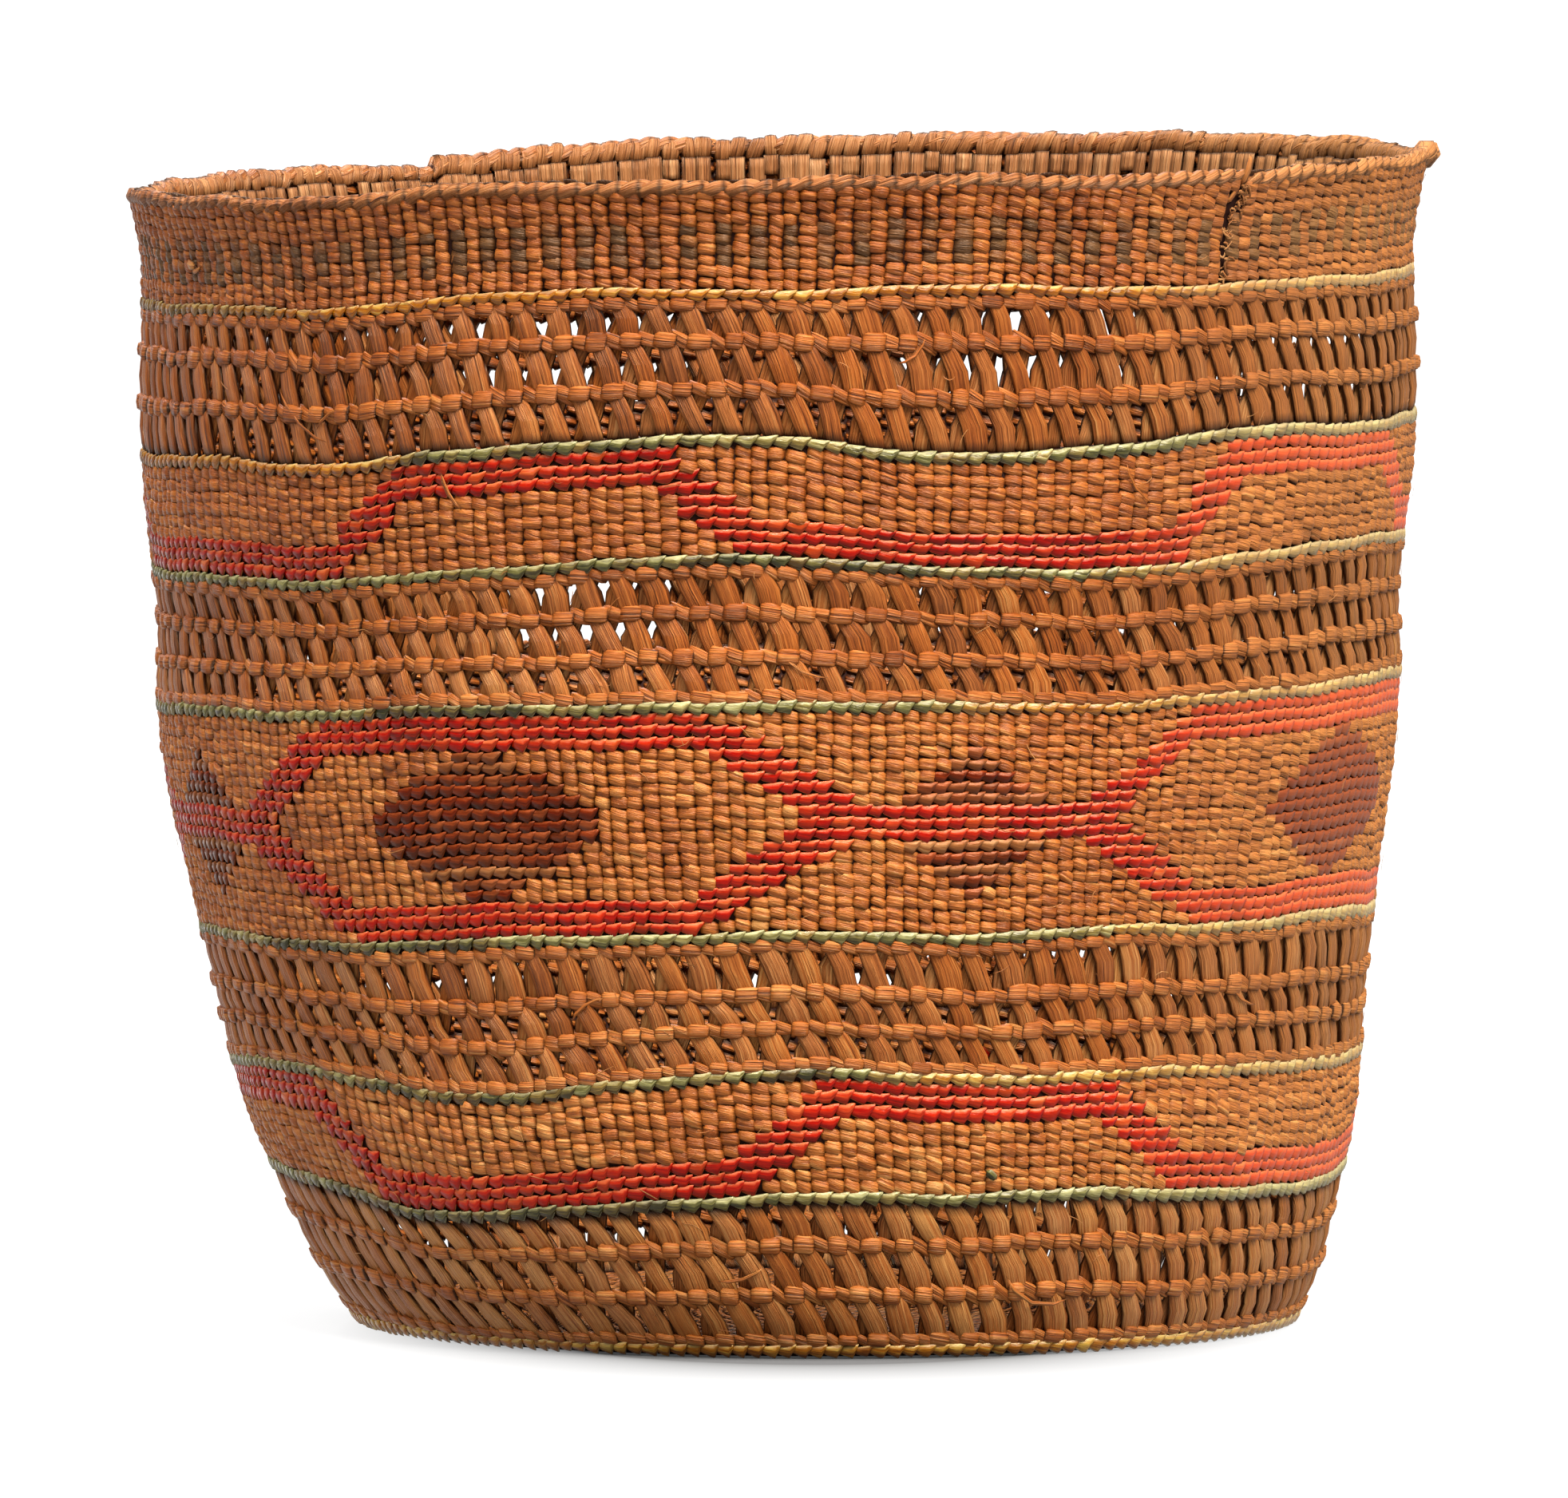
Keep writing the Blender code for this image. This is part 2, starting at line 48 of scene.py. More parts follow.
# Form of the basket, as the CAD part has it
BODY_RADIUS = 0.1118
OVAL_SHARE = 0.985
LEAN = 0.0085
LEAN_HEIGHT = 0.062
SAG = 0.006
HEEL_LIFT = 0.0004
ROPE_THICKNESS = 0.0029
UNDER_ROPE = 0.0009

# Sections from the base up: name, clear height, columns of stitches
SECTIONS = (
    ("heel_line", 0.0019, 196),
    ("foot_openwork", 0.0239, 200),
    ("grass_line_1", 0.0019, 206),
    ("lower_band", 0.0189, 212),
    ("grass_line_2", 0.0019, 212),
    ("lower_openwork", 0.0227, 216),
    ("grass_line_3", 0.0019, 224),
    ("middle_band", 0.0378, 232),
    ("grass_line_4", 0.0019, 232),
    ("upper_openwork", 0.0216, 228),
    ("grass_line_5", 0.0019, 224),
    ("upper_band", 0.0188, 224),
    ("grass_line_6", 0.0019, 230),
    ("rim_openwork", 0.0236, 236),
    ("grass_line_7", 0.0019, 236),
    ("rim_band", 0.0172, 236),
)
BAND_ROWS = {"lower_band": 9, "middle_band": 19, "upper_band": 9, "rim_band": 9}

# The wall's outline: outer radius, as a share of the body radius, at shares of the wall's height
OUTLINE_HEIGHT_SHARES = np.array(
    (0, 0.04, 0.094, 0.178, 0.286, 0.395, 0.509, 0.563, 0.617, 0.731, 0.84, 0.894, 0.948, 1))
OUTLINE_RADIUS_SHARES = np.array(
    (0.737, 0.781, 0.819, 0.869, 0.901, 0.934, 0.968, 0.975, 0.973, 0.996, 1, 0.996, 1.002, 1.022))

# How far each level rows up or down round the basket, as shares of the sag, at angles from the front
STATION_ANGLES = np.radians((-90, -60, -45, -30, -15, 0, 15, 30, 45, 60, 90, 130, 180, 230))
SAG_SHARES = (
    (0, 0, 0, 0, 0, 0, 0, 0, 0, 0, 0, 0, 0, 0),
    (0.23, -0.03, -0.60, -0.37, -0.03, 0.18, 0.17, 0.22, -0.02, -0.17, 0.13, -0.10, 0.10, 0.10),
    (-0.25, -0.03, -0.37, -0.50, 0, 0.33, 0.20, 0.10, 0.12, 0, 0.07, 0.10, -0.10, 0.05),
    (-0.43, -0.47, -0.45, -0.13, -0.02, 0.23, 0.07, 0.17, 0.10, 0.23, 0.03, 0.10, 0.15, -0.10),
    (-0.63, -0.45, -0.40, -0.10, 0.02, 0.15, 0.05, 0, 0.17, 0.27, 0.53, 0.40, 0.10, -0.30),
    (-0.57, -0.60, -0.60, -0.17, 0.23, 0.32, -0.03, -0.10, 0.10, 0.40, 0.45, 0.35, 0.15, -0.30),
    (-0.73, -0.68, -0.75, -0.22, 0.15, 0.23, -0.25, -0.08, 0.30, 0.32, 0.50, 0.45, 0.20, -0.35),
    (-0.52, -0.55, -0.50, -0.12, 0.17, 0.10, 0.33, 0.13, 0.20, 0.33, 0.45, 0.50, 0.30, -0.20),
    (-0.75, -0.75, -0.75, -0.33, -0.20, -0.12, 0.10, -0.10, 0.08, 0.25, 0.42, 0.65, 0.50, -0.25),
)

# The two weft rows of each openwork as shares of its height
WEFT_SHARES = {
    "foot_openwork": (0.36, 0.71),
    "lower_openwork": (0.32, 0.60),
    "upper_openwork": (0.33, 0.66),
    "rim_openwork": (0.34, 0.70),
}

# Warp strips of each openwork: half width where broad and where pinched, in millimetres, and tone. The
# foot's outer warps have a lighter tone, painted light that makes up for the shade at the foot
OUTER_WARPS = {
    "foot_openwork": (2.25, 1.15, 1.6),
    "lower_openwork": (2.1, 1.4, 0),
    "upper_openwork": (2.05, 1.4, 0),
    "rim_openwork": (1.95, 1.4, 0),
}
INNER_WARPS = {
    "foot_openwork": (1.8, 1.3, -1.2),
    "lower_openwork": (2.0, 1.3, 1),
    "upper_openwork": (2.0, 1.3, 1),
    "rim_openwork": (2.0, 1.3, 1),
}

# Where each openwork has bead rows: at its foot, at its top
BEAD_ROWS = {
    "foot_openwork": (True, False),
    "lower_openwork": (True, True),
    "upper_openwork": (True, True),
    "rim_openwork": (False, True),
}

# Grass rows from the top down: seed; how green the grass is at the back left; each change of that, as from
# which angle to which and by how much; stretches where the grass is darker. Degrees from the front
GRASS_ROWS = {
    "grass_line_7": (510, 0.45, ((-60, -40, -0.45),), ()),
    "grass_line_6": (520, 0.0, ((-42, -30, 0.95), (40, 60, -0.4)), ()),
    "grass_line_5": (530, 0.95, ((28, 40, -0.6),), ((-8, 14),)),
    "grass_line_4": (540, 0.95, ((12, 22, -0.75),), ((-40, -24),)),
    "grass_line_3": (550, 0.95, ((24, 40, -0.5),), ((-60, -30),)),
    "grass_line_2": (560, 0.9, ((6, 16, -0.6),), ((-50, -22), (-4, 4))),
    "grass_line_1": (570, 0.95, (), ((-60, -12), (16.5, 22))),
    "heel_line": (580, 0.0, (), ()),
}
DARKER = 2.6

# Upper runs of the two zigzags, as (centre angle, width) in degrees from the front
UPPER_RUNS = ((-103, 30), (-24, 26.2), (57.8, 28.4), (157, 26))
LOWER_RUNS = ((-161, 29), (-72.8, 29), (17.8, 30.4), (108, 29))
RUN_ROWS = 3
UPPER_STEP = 0.78
LOWER_STEP = 1.05

# The chain's hexagons, in columns counted from behind the basket and rows from the band's middle
HEXAGON_ENDS = ((77.7, 120.3), (134, 180.5), (193.7, 236.7), (250, 297))
CORNER_COLUMNS = (0, 3, 9)
OUTER_CORNER_ROWS = (1.5, 4.2, 9.5)
INNER_CORNER_ROWS = (0, 0, 6.5)
SIDE_STRETCH = (1.08, 0.95)

# The diamonds: centre columns, half width in columns, and rows
DIAMOND_PLACES = (97.5, 157.2, 215.2, 273.5)
HALF_DIAMOND_PLACES = (127.5, 187.1, 243.3, 303.4)
DIAMOND = (8, 6.6)
HALF_DIAMOND = (5, 1.5, 6.2)

# How pale the brown grass is in each row of the middle band, in whole and in halved diamonds
DIAMOND_PALENESS = np.array(
    (0, 0, 0, 0.3, 0.5, 0.15, 0.08, 0.0, 0.05, 0.05, 0.12, 0.15, 0.12, 0.8, 0.3, 0.15, 0, 0, 0))
HALF_PALENESS = np.array(
    (0, 0, 0, 0.3, 0.6, 0.0, 0.2, 0.4, 0, 0, 0, 0.9, 0.15, 0.65, 0.2, 0.3, 0, 0, 0))


def stacked():
    """Foot and top height of each section when they stand on each other."""
    spans = {}
    height = HEEL_LIFT
    for name, clear_height, columns in SECTIONS:
        spans[name] = (height, height + clear_height)
        height += clear_height
    return spans


SPANS = stacked()
COLUMNS = {name: columns for name, clear_height, columns in SECTIONS}
WALL_HEIGHT = SPANS["rim_band"][1] + ROPE_THICKNESS


def smooth(x, stations, values):
    """Read a smooth curve through the stations: cubic pieces whose slopes follow their neighbours."""
    slopes = np.gradient(values, stations)
    cell = np.clip(np.searchsorted(stations, x, side="right") - 1, 0, len(stations) - 2)
    width = stations[cell + 1] - stations[cell]
    t = (x - stations[cell]) / width
    start = values[cell] * (1 + 2 * t) + slopes[cell] * width * t
    end = values[cell + 1] * (3 - 2 * t) + slopes[cell + 1] * width * (t - 1)
    return start * (1 - t) ** 2 + end * t ** 2


def wall_radius(height):
    """Outer radius of the round basket's wall at a height."""
    share = np.asarray(height) / WALL_HEIGHT
    return BODY_RADIUS * smooth(share, OUTLINE_HEIGHT_SHARES, OUTLINE_RADIUS_SHARES)


SAG_STEPS = 720
SAG_TABLE = np.array([
    smooth(np.linspace(-math.pi, math.pi, SAG_STEPS + 1),
           np.concatenate((STATION_ANGLES - TURN, STATION_ANGLES, STATION_ANGLES + TURN)),
           np.tile(shares, 3))
    for shares in SAG_SHARES])
SAG_LEVELS = np.array([0] + [sum(SPANS["grass_line_%d" % line]) / 2 for line in range(1, 8)] + [WALL_HEIGHT])


def sagged(angle, height):
    """How far points are moved up or down: linear between the levels and between the steps of the table."""
    step = ((angle + math.pi) % TURN) / TURN * SAG_STEPS
    left = np.minimum(step.astype(int), SAG_STEPS - 1)
    share = step - left
    level = np.clip(np.searchsorted(SAG_LEVELS, height) - 1, 0, len(SAG_LEVELS) - 2)
    t = (height - SAG_LEVELS[level]) / (SAG_LEVELS[level + 1] - SAG_LEVELS[level])
    low = SAG_TABLE[level, left] * (1 - share) + SAG_TABLE[level, left + 1] * share
    high = SAG_TABLE[level + 1, left] * (1 - share) + SAG_TABLE[level + 1, left + 1] * share
    return SAG * (low * (1 - t) + high * t)


# Shallow waves: PUSH moves the wall in and out, LIFT its rows up and down, both calm at the foot. Each wave
# has its number of turns round the basket, how much it turns with the height, its start and its share
PUSH = 0.25 * MM
PUSH_WAVES = ((5, 40, 1.1, 1), (9, -65, -0.4, 0.6), (21, 90, 2, 0.5))
LIFT = 0.16 * MM
LIFT_WAVES = ((7, 50, 0.3, 1), (13, -35, 1.9, 1), (29, 120, 0, 0.8))
CALM_HEIGHT = 0.03

# The rim's dip beside the nick at the back left: where it starts, its depth, its length in radians and how
# far it reaches down
NICK_ANGLE = math.radians(-146.3)
NICK_DEPTH = 1.9 * MM
NICK_LENGTH = 0.28
NICK_HEIGHT = 8 * MM


def waves(table, angle, height):
    """Sum of sine waves that run round and up the wall."""
    return sum(share * np.sin(turns * angle + rise * height + start) for turns, rise, start, share in table)


def worn(angle, depth, height):
    """World points of the worn basket. Shallow waves round and up the wall push it in and out and let its
    rows rise and fall, and the rim dips beside a nick; then the wall leans to the left, is a little oval and
    sags."""
    calm = np.clip(height / CALM_HEIGHT, 0, 1)
    radius = wall_radius(height) - depth - PUSH * waves(PUSH_WAVES, angle, height) * calm
    past = (angle - NICK_ANGLE + math.pi) % TURN - math.pi
    near_rim = np.clip(1 - (WALL_HEIGHT - height) / NICK_HEIGHT, 0, 1)
    dip = np.exp(-np.maximum(past, 0) / NICK_LENGTH) * (past > 0) * near_rim
    height = height + LIFT * waves(LIFT_WAVES, angle, height) * calm - NICK_DEPTH * dip
    return np.stack((
        radius * np.sin(angle) - LEAN * np.tanh(height / LEAN_HEIGHT),
        -radius * np.cos(angle) * OVAL_SHARE,
        height + sagged(angle, height)), axis=-1)


def flat(angle, lift, radius):
    """World points of the base: an angle, a lift above the floor and a radius."""
    return np.stack((
        radius * np.sin(angle) - LEAN * np.tanh(lift / LEAN_HEIGHT),
        -radius * np.cos(angle) * OVAL_SHARE,
        lift), axis=-1)


# How much fainter the painted shade at the edge is on the side of a strand that lies on top, half of it at
# the crest
EASED_SHADE = 0.33


def packed(values):
    """Values at stations and places round a strand, with the first and last station drawn to one point."""
    count = len(values)
    return np.concatenate((values[:, 0, :1], values[:, 1:-1].reshape(count, -1), values[:, -1, :1]), axis=1)


def enclosed(points, quads, tris):
    """Six times the volume inside a closed surface, less than 0 where its faces point inwards."""
    total = 0
    for faces, second, third in ((tris, 1, 2), (quads, 1, 2), (quads, 2, 3)):
        side = np.cross(points[faces[:, second]], points[faces[:, third]])
        total += np.einsum("ij,ij->", points[faces[:, 0]], side)
    return total


def strands(on, angle, across, out, turn_width, across_width, bulge, run, around, tone, dye=0.0, back=0.35,
            square=0.85, heavy=0, flat_back=False):
    """Closed strands, one for each row of the arrays, which give their stations from end to end.
    A strand's section is a rounded lens: its half width goes by turn_width and across_width with the sine of
    the places round it, and its thickness by bulge with the cosine, less at the back. on() places the
    points. The fibre map runs along the strand and across it, in millimetres, shifted from strand to strand.
    The form vector holds, first, the mask of painted shade at the strand's sides: how near a point is to
    them, from 0 at the crest to 1, less at the upper side where heavy is 1 and at the lower where it is -1,
    and 0 again in the middle of the back where flat_back is set; then its place from the lower side, -1, to
    the upper, 1; then its place from the first end, -1, to the last, 1."""
    shape = np.broadcast_shapes(*(np.shape(part) for part in (angle, across, out, turn_width, across_width,
                                                              bulge, run)))
    count, stations = shape
    angle, across, out, turn_width, across_width, bulge, run = (
        np.broadcast_to(part, shape)[..., None]
        for part in (angle, across, out, turn_width, across_width, bulge, run))
    around = np.radians(around)
    places = len(around)
    sine = np.sign(np.sin(around)) * np.abs(np.sin(around)) ** square
    cosine = np.where(np.cos(around) > 0, np.abs(np.cos(around)) ** square, back * np.cos(around))
    points = on(packed(angle + turn_width * sine), -packed(out + bulge * cosine),
                packed(across + across_width * sine))
    tone = np.broadcast_to(tone, (count,))
    shift = (tone * 37.7 + np.arange(count) * 0.73) % 11
    half = np.hypot(turn_width * BODY_RADIUS, across_width)
    across_map = packed(np.broadcast_to(half * sine, (count, stations, places))) / MM + shift[:, None] * 3
    along_map = packed(np.broadcast_to(run, (count, stations, places))) / MM + shift[:, None] * 7
    # Painted shade: edge darkens a strand's sides as shade in the creases would, less on the side the light
    # falls on
    weight = 1 - EASED_SHADE * (abs(heavy) + heavy * sine)
    facing = np.abs(np.cos(around)) if flat_back else np.maximum(np.cos(around), 0)
    edge = (1 - facing) * weight
    far = 2 * (run - run[:, :1]) / (run[:, -1:] - run[:, :1]) - 1
    form = np.stack([packed(np.broadcast_to(part, (count, stations, places)))
                     for part in (edge, sine, far)], axis=-1)
    ring = 1 + np.arange(stations - 2)[:, None] * places + np.arange(places)
    after = np.roll(ring, -1, axis=1)
    quads = np.stack((ring[:-1], after[:-1], after[1:], ring[1:]), axis=-1).reshape(-1, 4)
    first = np.stack((np.zeros(places, int), after[0], ring[0]), axis=-1)
    last = np.stack((np.full(places, ring[-1, -1] + 1), ring[-1], after[-1]), axis=-1)
    tris = np.concatenate((first, last))
    if enclosed(points[0], quads, tris) < 0:
        quads = quads[:, ::-1]
        tris = tris[:, ::-1]
    return {"points": points, "quads": quads, "tris": tris,
            "map": np.stack((along_map, across_map), axis=-1), "form": form, "tone": tone,
            "dye": np.broadcast_to(dye, (count,))}


def ring_batch(points, quads, tris=np.empty((0, 3), int), strand_map=None, form=None, tone=0.0, dye=0.0):
    """One closed surface as a batch: its points in any shape, its faces and, if it has them, its map and
    form vectors."""
    points = points.reshape(1, -1, 3)
    count = points.shape[1]
    return {"points": points, "quads": quads, "tris": tris,
            "map": np.zeros((1, count, 2)) if strand_map is None else strand_map.reshape(1, -1, 2),
            "form": np.zeros((1, count, 3)) if form is None else form.reshape(1, -1, 3),
            "tone": np.full(1, tone), "dye": np.full(1, dye)}


def piece(name, batches, material, nodes):
    """One object of all the strands in the batches, with its finish, standing for these CAD nodes."""
    name = name.replace(" ", "_")
    points = []
    corners = []
    sizes = []
    maps = []
    forms = []
    values = {"tone": [], "dye": []}
    start = 0
    for batch in batches:
        count, per_strand, axes = batch["points"].shape
        points.append(batch["points"].reshape(-1, 3))
        maps.append(batch["map"].reshape(-1, 2))
        forms.append(batch["form"].reshape(-1, 3))
        for key in ("tone", "dye"):
            values[key].append(np.repeat(batch[key], per_strand))
        offsets = start + np.arange(count)[:, None, None] * per_strand
        for faces in (batch["quads"], batch["tris"]):
            if len(faces):
                corners.append((faces[None] + offsets).ravel())
                sizes.append(np.full(count * len(faces), faces.shape[1]))
        start += count * per_strand
    points = np.concatenate(points)
    corners = np.concatenate(corners)
    sizes = np.concatenate(sizes)
    mesh = bpy.data.meshes.new(name)
    mesh.vertices.add(len(points))
    mesh.vertices.foreach_set("co", points.astype(np.float32).ravel())
    mesh.loops.add(len(corners))
    mesh.loops.foreach_set("vertex_index", corners.astype(np.int32))
    mesh.polygons.add(len(sizes))
    mesh.polygons.foreach_set("loop_start", (np.cumsum(sizes) - sizes).astype(np.int32))
    mesh.update(calc_edges=True)
    strand_map = mesh.uv_layers.new(name="strand")
    strand_map.data.foreach_set("uv", np.concatenate(maps)[corners].astype(np.float32).ravel())
    for key, parts in values.items():
        attribute = mesh.attributes.new(key, "FLOAT", "POINT")
        attribute.data.foreach_set("value", np.concatenate(parts).astype(np.float32))
    attribute = mesh.attributes.new("form", "FLOAT_VECTOR", "POINT")
    attribute.data.foreach_set("vector", np.concatenate(forms).astype(np.float32).ravel())
    mesh.shade_smooth()
    mesh.materials.append(material)
    thing = bpy.data.objects.new(name, mesh)
    bpy.context.scene.collection.objects.link(thing)
    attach(thing, "root")
    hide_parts(*nodes)
    return thing


# Finishes

LIT_SHARE = 0.43


def srgb(red, green, blue):
    """Linear colour of a strand whose sRGB colour in the studio's strong light is given as 0 to 255."""
    shares = np.array((red, green, blue)) / 255
    linear = np.where(shares <= 0.04045, shares / 12.92, ((shares + 0.055) / 1.055) ** 2.4)
    return (*(linear * LIT_SHARE), 1)


class Finish:
    """A material whose nodes are added by short calls."""

    def __init__(self, name):
        self.material = bpy.data.materials.new(name)
        self.material.use_nodes = True
        self.tree = self.material.node_tree
        self.shader = self.tree.nodes["Principled BSDF"]

    def add(self, kind, **settings):
        node = self.tree.nodes.new(kind)
        for key, value in settings.items():
            setattr(node, key, value)
        return node

    def link(self, source, target):
        self.tree.links.new(source, target)

    def feed(self, value, target):
        if hasattr(value, "is_output"):
            self.link(value, target)
        else:
            target.default_value = value

    def math(self, operation, first, second=0.0, clamp=False):
        node = self.add("ShaderNodeMath", operation=operation, use_clamp=clamp)
        self.feed(first, node.inputs[0])
        self.feed(second, node.inputs[1])
        return node.outputs[0]

    def add_share(self, value, source, share):
        """The value plus a share of the source."""
        return self.math("ADD", value, self.math("MULTIPLY", source, share))

    def centred(self, value):
        return self.math("SUBTRACT", value, 0.5)

    def attribute(self, name):
        return self.add("ShaderNodeAttribute", attribute_name=name).outputs["Fac"]

    def noise(self, vector, scale, detail, roughness=0.5):
        node = self.add("ShaderNodeTexNoise")
        self.link(vector, node.inputs["Vector"])
        node.inputs["Scale"].default_value = scale
        node.inputs["Detail"].default_value = detail
        node.inputs["Roughness"].default_value = roughness
        return node.outputs["Fac"]

    def stretched(self, along, across):
        """The strand's own map, stretched so that a pattern runs along the fibres."""
        strand_map = self.add("ShaderNodeUVMap", uv_map="strand")
        scaled = self.add("ShaderNodeMapping")
        scaled.inputs["Scale"].default_value = (along, across, 1)
        self.link(strand_map.outputs[0], scaled.inputs["Vector"])
        return scaled.outputs[0]

    def place(self):
        return self.add("ShaderNodeTexCoord").outputs["Object"]

    def rising(self, value, start, end):
        """0 to 1 as the value goes from start to end."""
        node = self.add("ShaderNodeMapRange")
        self.link(value, node.inputs["Value"])
        node.inputs["From Min"].default_value = start
        node.inputs["From Max"].default_value = end
        return node.outputs[0]

    def ramp(self, value, stops):
        node = self.add("ShaderNodeValToRGB")
        self.link(value, node.inputs[0])
        elements = node.color_ramp.elements
        while len(elements) < len(stops):
            elements.new(0.5)
        for element, (position, colour) in zip(elements, stops):
            element.position = position
            element.color = colour
        return node.outputs[0]

    def mix(self, share, first, second, blend="MIX"):
        node = self.add("ShaderNodeMix", data_type="RGBA", blend_type=blend)
        self.feed(share, node.inputs["Factor"])
        self.feed(first, node.inputs["A"])
        self.feed(second, node.inputs["B"])
        return node.outputs["Result"]

    def bump(self, height, distance, strength=1.0):
        node = self.add("ShaderNodeBump")
        self.link(height, node.inputs["Height"])
        node.inputs["Distance"].default_value = distance
        node.inputs["Strength"].default_value = strength
        self.link(node.outputs[0], self.shader.inputs["Normal"])


# Where the finish changes on the basket, in metres: darker with the height, faded to the right. Then how many
# patches it has to a metre
HEIGHT_DARKENING_RANGE = (0.02, 0.2)
FADED_PLACES = (0.05, 0.09)
PATCH_SCALE = 60.0

# A strand's place in its colours: the middle, how much streaks, patches and the darkening with the height
# move it, and how much painted light makes grass lighter towards its upper side and darker towards its lower
MIDDLE_VALUE = 0.57
STREAK_SHARE = 0.7
PATCH_SHARE = 0.48
HEIGHT_DARKENING_SHARE = 0.17
TOP_LIGHT_SHARE = 0.2

# Where painted light shows: a painted highlight on grass, from which place to which across the strand, above
# and below, and how strongly above; on root, painted shade where its ends are dark, then where its fibres
# have split, and how strongly
UPPER_HIGHLIGHT = (0.35, 0.9)
UPPER_HIGHLIGHT_SHARE = 0.7
LOWER_HIGHLIGHT = (-0.84, -0.92)
END_SHADE = 0.96
SPLIT_FIBRES = (0.37, 0.29)
SPLIT_SHARE = 0.75
FADED_DULLNESS = 0.35


def strand_finish(name, stops, dyed, roughness, shine, spread, painted_light_colour, painted_light_share, grain_depth, fading,
                  fibre_share, tint, fibre_length=0.22, fineness=1.9, crease_shade=(0.4, 0.9), end_shade_start=0.82,
                  glossy=False):
    """Fibrous strand: colours by its tone, by broad streaks and fine fibres along it and by patches on the
    basket, darker towards the rim, a dyed colour, and a dull fading towards the right side of the basket.
    Its sides and ends are darkened by painted shade; on glossy grass painted light makes the upper side
    lighter and the lower side darker, and a painted highlight goes on the upper side and a thin outline
    instead. The stops pair a value with a colour, and fading pairs the faded colour with its share."""
    finish = Finish(name)
    fibres = finish.noise(finish.stretched(fibre_length, fineness), 1.0, 3.0, 0.65)
    streaks = finish.noise(finish.stretched(fibre_length / 2, fineness * 0.7), 1.0, 2.0, 0.5)
    patches = finish.noise(finish.place(), PATCH_SCALE, 4.0, 0.65)
    value = finish.math("MULTIPLY", finish.centred(fibres), fibre_share)
    value = finish.add_share(value, finish.centred(streaks), STREAK_SHARE)
    value = finish.add_share(value, finish.attribute("tone"), spread)
    value = finish.add_share(value, finish.centred(patches), PATCH_SHARE)
    side = finish.add("ShaderNodeSeparateXYZ")
    finish.link(finish.place(), side.inputs[0])
    height_darkening = finish.math("MULTIPLY", finish.rising(side.outputs["Z"], *HEIGHT_DARKENING_RANGE), HEIGHT_DARKENING_SHARE)
    value = finish.math("ADD", value, finish.math("SUBTRACT", MIDDLE_VALUE, height_darkening))
    form = finish.add("ShaderNodeSeparateXYZ")
    finish.link(finish.add("ShaderNodeAttribute", attribute_name="form").outputs["Vector"], form.inputs[0])
    edge, up, far = form.outputs
    if glossy:
        # Painted light: grass is lighter towards its upper side and darker towards its lower side
        value = finish.add_share(value, up, TOP_LIGHT_SHARE)
    colour = finish.ramp(value, stops)
    colour = finish.mix(finish.attribute("dye"), colour, finish.ramp(value, dyed))
    right = finish.rising(side.outputs["X"], *FADED_PLACES)
    colour = finish.mix(finish.math("MULTIPLY", right, fading[1]), colour, fading[0])
    if glossy:
        # Painted highlight: a pale band along the upper side and a thin pale outline below
        above = finish.math("MULTIPLY", finish.rising(up, *UPPER_HIGHLIGHT), UPPER_HIGHLIGHT_SHARE)
        edge = finish.math("MAXIMUM", above, finish.rising(up, *LOWER_HIGHLIGHT))
    else:
        # Painted shade in the creases at the sides and at the stitch ends, with real dark lines where the
        # fibres split
        ends = finish.rising(finish.math("ABSOLUTE", far), end_shade_start, END_SHADE)
        splits = finish.math("MULTIPLY", finish.rising(fibres, *SPLIT_FIBRES), SPLIT_SHARE)
        edge = finish.math("MAXIMUM", finish.rising(edge, *crease_shade), finish.math("MAXIMUM", ends, splits))
    # Painted light: the colour is dark painted shade on root and a pale painted highlight on grass
    colour = finish.mix(finish.math("MULTIPLY", edge, painted_light_share), colour, painted_light_colour)
    finish.link(colour, finish.shader.inputs["Base Color"])
    dull = finish.math("ADD", finish.math("MULTIPLY", right, FADED_DULLNESS), roughness)
    finish.link(dull, finish.shader.inputs["Roughness"])
    finish.shader.inputs["Specular IOR Level"].default_value = shine
    finish.shader.inputs["Specular Tint"].default_value = (*tint, 1)
    finish.bump(finish.math("ADD", fibres, streaks), grain_depth)
    return finish.material


# The edge colours are painted light: dark painted shade for root's creases and ends, pale painted highlights
# for grass
ROOT = strand_finish(
    "twined root",
    stops=((0.08, srgb(90, 34, 7)), (0.34, srgb(166, 81, 25)), (0.58, srgb(208, 118, 46)),
           (0.9, srgb(250, 180, 100))),
    dyed=((0.15, srgb(60, 34, 12)), (0.5, srgb(116, 74, 36)), (0.85, srgb(158, 108, 60))),
    roughness=0.38, shine=0.3, tint=(1, 0.75, 0.55), spread=0.09, painted_light_colour=srgb(40, 10, 2),
    painted_light_share=0.95, crease_shade=(0.12, 0.4), end_shade_start=0.62, grain_depth=0.0005,
    fading=(srgb(230, 162, 90), 0.3), fibre_share=0.9)
RIBBON = strand_finish(
    "split root warp",
    stops=((0.06, srgb(88, 34, 8)), (0.34, srgb(168, 82, 27)), (0.6, srgb(208, 115, 45)),
           (0.95, srgb(248, 172, 94))),
    dyed=((0.12, srgb(120, 66, 34)), (0.5, srgb(190, 122, 70)), (0.88, srgb(234, 174, 118))),
    roughness=0.38, shine=0.3, tint=(1, 0.75, 0.5), spread=0.08, painted_light_colour=srgb(46, 14, 4),
    painted_light_share=0.94, grain_depth=0.0007, fading=(srgb(214, 150, 84), 0.35), fibre_share=1.45,
    fibre_length=0.07, fineness=3.2)
